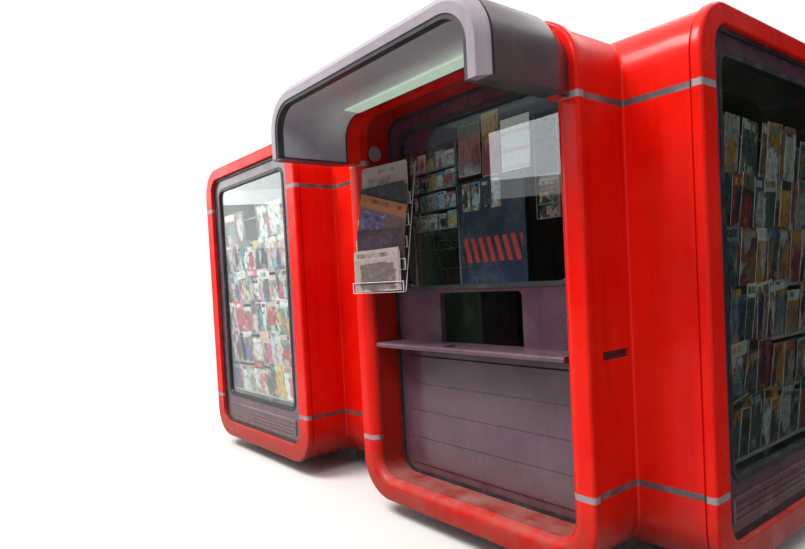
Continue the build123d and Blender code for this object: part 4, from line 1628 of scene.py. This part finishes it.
@dataclass(frozen=True)
class NewspaperTiers:
    """Folded newspapers in the wire rack by the left cheek, one bundle to a tier."""

    seed: int = 41
    tiers: int = 5
    bundle: int = 3
    pitch: float = 0.130
    step: float = 0.028
    width: float = 0.365
    width_shares: Pair = (0.90, 0.96)
    height: float = 0.250
    height_shares: Pair = (0.92, 1.0)
    thick: float = 0.0028
    first_depth: float = 0.0045
    paper_pitch: float = 0.0032
    lean: float = 0.006
    curls: Pair = (0.004, 0.010)
    most_lift: float = 0.006
    turn: float = 15.0
    corner: Point = (-OPENING_HALF_WIDTH + 0.022, RIM_PLANE - 0.015, UPPER_JOINT - 0.300)
    margin: float = 0.0055
    tilts: tuple[float, ...] = (0.5, 1.5, -17.0, -1.5, 1.5)
    tilt_spread: float = 1.2
    faces: tuple[int, int] = (6, 5)

    def folded(self, draft: Draft, tier: int, depth: float, chance: random.Random) -> None:
        """Lean one folded newspaper in its pocket.

        Args:
            draft: The piece that it joins.
            tier: The tier that it stands in, from the top.
            depth: How far in front of the pocket's back it stands.
            chance: The source of its small differences.
        """
        wide = self.width * chance.uniform(*self.width_shares)
        high = self.height * chance.uniform(*self.height_shares)
        shift = (self.width - wide) * chance.random()
        curl = chance.uniform(*self.curls)
        turn = math.radians(self.tilts[tier] + chance.uniform(-self.tilt_spread, self.tilt_spread))
        raised = max(0.0, -math.sin(turn)) * wide
        base_y = -tier * self.step - self.lean - depth
        base_z = -tier * self.pitch + raised + chance.uniform(0.0, self.most_lift)

        def front(u: float, v: float) -> Vector:
            """Shape the printed side, which leans back and curls at its free corners.

            Args:
                u: The place across the paper.
                v: The place up the paper.

            Returns:
                The point.
            """
            back = self.lean * v - curl * u * u * v
            along = u * wide * math.cos(turn) - v * high * math.sin(turn) * 0.5
            rise = v * high + u * wide * math.sin(turn)
            return Vector((self.margin + shift + along, base_y + back, base_z + rise))

        draft.sheet(front, self.thick, self.faces, chance.random(), tier, self.tiers)

    def build(self) -> None:
        """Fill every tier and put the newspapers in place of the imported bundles."""
        chance = random.Random(self.seed)
        draft = Draft()
        for tier in range(self.tiers):
            for n in range(self.bundle):
                self.folded(draft, tier, self.first_depth + self.paper_pitch * n, chance)
        move = Matrix.Translation(self.corner) @ Matrix.Rotation(math.radians(self.turn), 4, "Z")
        finishes = (*Finishes.NEWSPRINTS, Finishes.EDGES)
        piece = draft.piece("newspapers_in_rack", finishes, "paper", move)
        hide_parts("newspapers")


# Studio


@dataclass(frozen=True)
class Lamp:
    """A soft rectangular lamp."""

    name: str
    place: Point
    aim: Point
    size: Pair
    power: float
    colour: Colour = WHITE

    def build(self) -> None:
        """Hang the lamp and turn it to its aim."""
        light = bpy.data.lights.new(self.name, "AREA")
        light.shape = "RECTANGLE"
        light.size, light.size_y = self.size
        light.energy = self.power
        light.color = self.colour
        lamp = added(self.name, light)
        lamp.location = self.place
        to_aim = Vector(self.aim) - Vector(self.place)
        lamp.rotation_euler = to_aim.to_track_quat("-Z", "Y").to_euler()


@dataclass(frozen=True)
class FlagCloth(Finish):
    """Dark cloth of the studio's flags, in soft folds."""

    name: str = "flag_cloth"
    colour: Colour = (0.004, 0.006, 0.005)
    worn: Colour = (0.022, 0.030, 0.020)
    folds: Patches = Patches((0.9, 0.9, 0.4), 5.0, 0.65, 0.45, 0.7)

    def shader(self, g: Graph) -> Socket:
        """Fold the cloth."""
        colour = self.folds.over(g, self.colour, self.worn)
        return g.add("BsdfDiffuse", {"Color": colour}).outputs["BSDF"]


@dataclass(frozen=True)
class FloorPaint(Finish):
    """Pale paint of the studio's floor, which fades into the white of the surroundings."""

    name: str = "studio_floor_paint"
    colour: Colour = (0.66, 0.655, 0.64)
    bounce: Colour = (0.24, 0.24, 0.24)
    fade: Pair = (3.2, 8.5)

    def shader(self, g: Graph) -> Socket:
        """Show the pale colour to the eye, a darker one to plain light, and white far away.

        Args:
            g: The node tree.

        Returns:
            The shader.
        """
        seen = g.seen()
        paint = g.surface(base_color=g.mix(seen, self.bounce, self.colour), roughness=0.9)
        glow = g.add("Emission", {"Color": WHITE, "Strength": 1.0}).outputs["Emission"]
        away = g.vector("LENGTH", g.vector("ADD", g.place(), (MODULE_PITCH / 2, 0.0, 0.0)))
        inputs = {"Value": away, "From Min": self.fade[0], "From Max": self.fade[1]}
        fade = g.add("MapRange", inputs, interpolation_type="SMOOTHSTEP").outputs["Result"]
        inputs = {"Fac": g.product(fade, seen), "Shader": paint, "Shader_001": glow}
        return g.add("MixShader", inputs).outputs["Shader"]


@dataclass(frozen=True)
class Flag:
    """A dark studio cloth that shows in gloss and through glass alone, as dark surroundings do."""

    name: str
    corners: tuple[Point, ...]
    finish: Finish = FlagCloth()

    def build(self) -> None:
        """Hang or lay the cloth between its corners."""
        cloth = flat(self.name, self.corners, self.finish)
        cloth.visible_camera = cloth.visible_diffuse = cloth.visible_shadow = False


def upright(start: Pair, end: Pair, height: float) -> tuple[Point, ...]:
    """Give the corners of a cloth that hangs down to the floor between two places on it."""
    return (*start, 0.0), (*end, 0.0), (*end, height), (*start, height)


def level(low: Pair, high: Pair, height: float) -> tuple[Point, ...]:
    """Give the corners of a cloth that lies level between two opposite corners."""
    return (*low, height), (high[0], low[1], height), (*high, height), (low[0], high[1], height)


@dataclass(frozen=True)
class Viewpoint:
    """The camera, with the place, turn and framing of the photograph."""

    place: Point = (2.3894, -3.4956, 1.4846)
    heading: float = 53.74
    rise: float = -1.77
    roll: float = -3.07
    focal_length: float = 27.18
    sensor_width: float = 36.0
    shift: Pair = (0.0453, 0.0336)
    farthest: float = 200.0

    def build(self) -> None:
        """Set the camera up and make it the scene's own."""
        data = bpy.data.cameras.new("photo_camera")
        data.lens = self.focal_length
        data.sensor_width = self.sensor_width
        data.shift_x, data.shift_y = self.shift
        data.clip_end = self.farthest
        camera = added("photo_camera", data)
        turn = Euler((math.radians(90.0 + self.rise), 0.0, math.radians(self.heading)), "XYZ")
        turn = turn.to_matrix() @ Matrix.Rotation(math.radians(self.roll), 3, "Z")
        camera.matrix_world = Matrix.Translation(self.place) @ turn.to_4x4()
        bpy.context.scene.camera = camera


@dataclass(frozen=True)
class Studio:
    """Plain pale floor, white surroundings, soft lamps and the camera."""

    floor_reach: float = 30.0
    floor_paint: Finish = FloorPaint()
    daylight: Pair = (0.16, 1.00)
    lamps: tuple[Lamp, ...] = (
        Lamp("key_lamp", (-3.4, -7.6, 11.5), (-1.2, -0.2, 1.2), (5.0, 4.0), 1850.0,
             (1.0, 0.98, 0.95)),
        Lamp("fill_lamp", (3.0, -7.8, 9.6), (0.6, -1.0, 1.2), (4.0, 4.0), 420.0,
             (0.97, 0.98, 1.0)),
        Lamp("back_lamp", (0.0, 7.0, 7.5), (-1.0, 0.0, 1.2), (8.0, 4.0), 420.0),
        Lamp("window_glare", (-13.2, -6.5, 5.35), (-2.4, -1.2, 2.2), (6.5, 3.0), 180.0,
             (0.94, 1.0, 0.98)),
        Lamp("window_sheen", (-13.0, -6.3, 3.4), (-2.4, -1.2, 1.7), (6.5, 1.6), 24.0,
             (0.92, 1.0, 0.99)),
        Lamp("display_glare", (-6.24, -9.61, 4.75), (0.45, -0.94, 2.2), (2.45, 2.2), 52.0,
             (0.88, 0.94, 1.0)),
    )
    flags: tuple[Flag, ...] = (
        Flag("back_flag", upright((-12.0, 4.6), (12.0, 4.6), 7.0)),
        Flag("front_flag", upright((-7.9, -6.3), (-5.88, -7.7), 5.0)),
        Flag("end_flag", upright((-4.2, -1.45), (-4.2, 4.6), 4.5)),
        Flag("step_flag", upright((-5.88, -7.7), (-2.6, -10.0), 3.0)),
        Flag("floor_flag", level((1.45, -0.9), (7.0, 4.6), 0.004)),
    )
    viewpoint: Viewpoint = Viewpoint()

    def sky(self) -> None:
        """Make the surroundings white to the eye, gloss and glass, and a soft sky as light."""
        g = Graph("studio_surroundings", world=True)
        away = g.add("TexCoord").outputs["Generated"]
        rise = g.add("SeparateXYZ", {"Vector": away}).outputs["Z"]
        strength = g.sum("MAXIMUM", g.span(rise, 0.0, 1.0, *self.daylight), g.seen())
        white = g.add("Background", {"Color": WHITE, "Strength": strength}).outputs["Background"]
        g.add("OutputWorld", {"Surface": white})
        bpy.context.scene.world = g.holder

    def ground(self) -> None:
        """Lay the studio's floor."""
        reach = self.floor_reach
        corners = level((-reach, -reach), (reach, reach), 0.0)
        floor = flat("studio_floor", corners, self.floor_paint)

    def build(self) -> None:
        """Build the studio round the kiosk."""
        bpy.context.scene.view_settings.view_transform = "Standard"
        self.sky()
        self.ground()
        for item in (*self.lamps, *self.flags):
            item.build()
        self.viewpoint.build()
        log.info("studio: %d lamps and %d flags", len(self.lamps), len(self.flags))


def main() -> None:
    """Build the kiosk's pieces in order."""
    logging.basicConfig(level=logging.INFO, format="%(name)s %(message)s")
    sub_assemblies = (
        Studio(),
        Bodywork(),
        MagazineRack("left_front_stock", "left_front_magazines", Side.FRONT, Module.LEFT, 7, 0.6,
                     Finishes.COVERS),
        MagazineRack("right_end_stock", "right_end_magazines", Side.RIGHT, Module.RIGHT, 19, 0.9,
                     Finishes.SHADED_COVERS),
        SalesDisplay(),
        NewspaperTiers(),
    )
    for part in sub_assemblies:
        part.build()
        log.info("built %s", type(part).__name__)


if __name__ == "__main__":
    main()
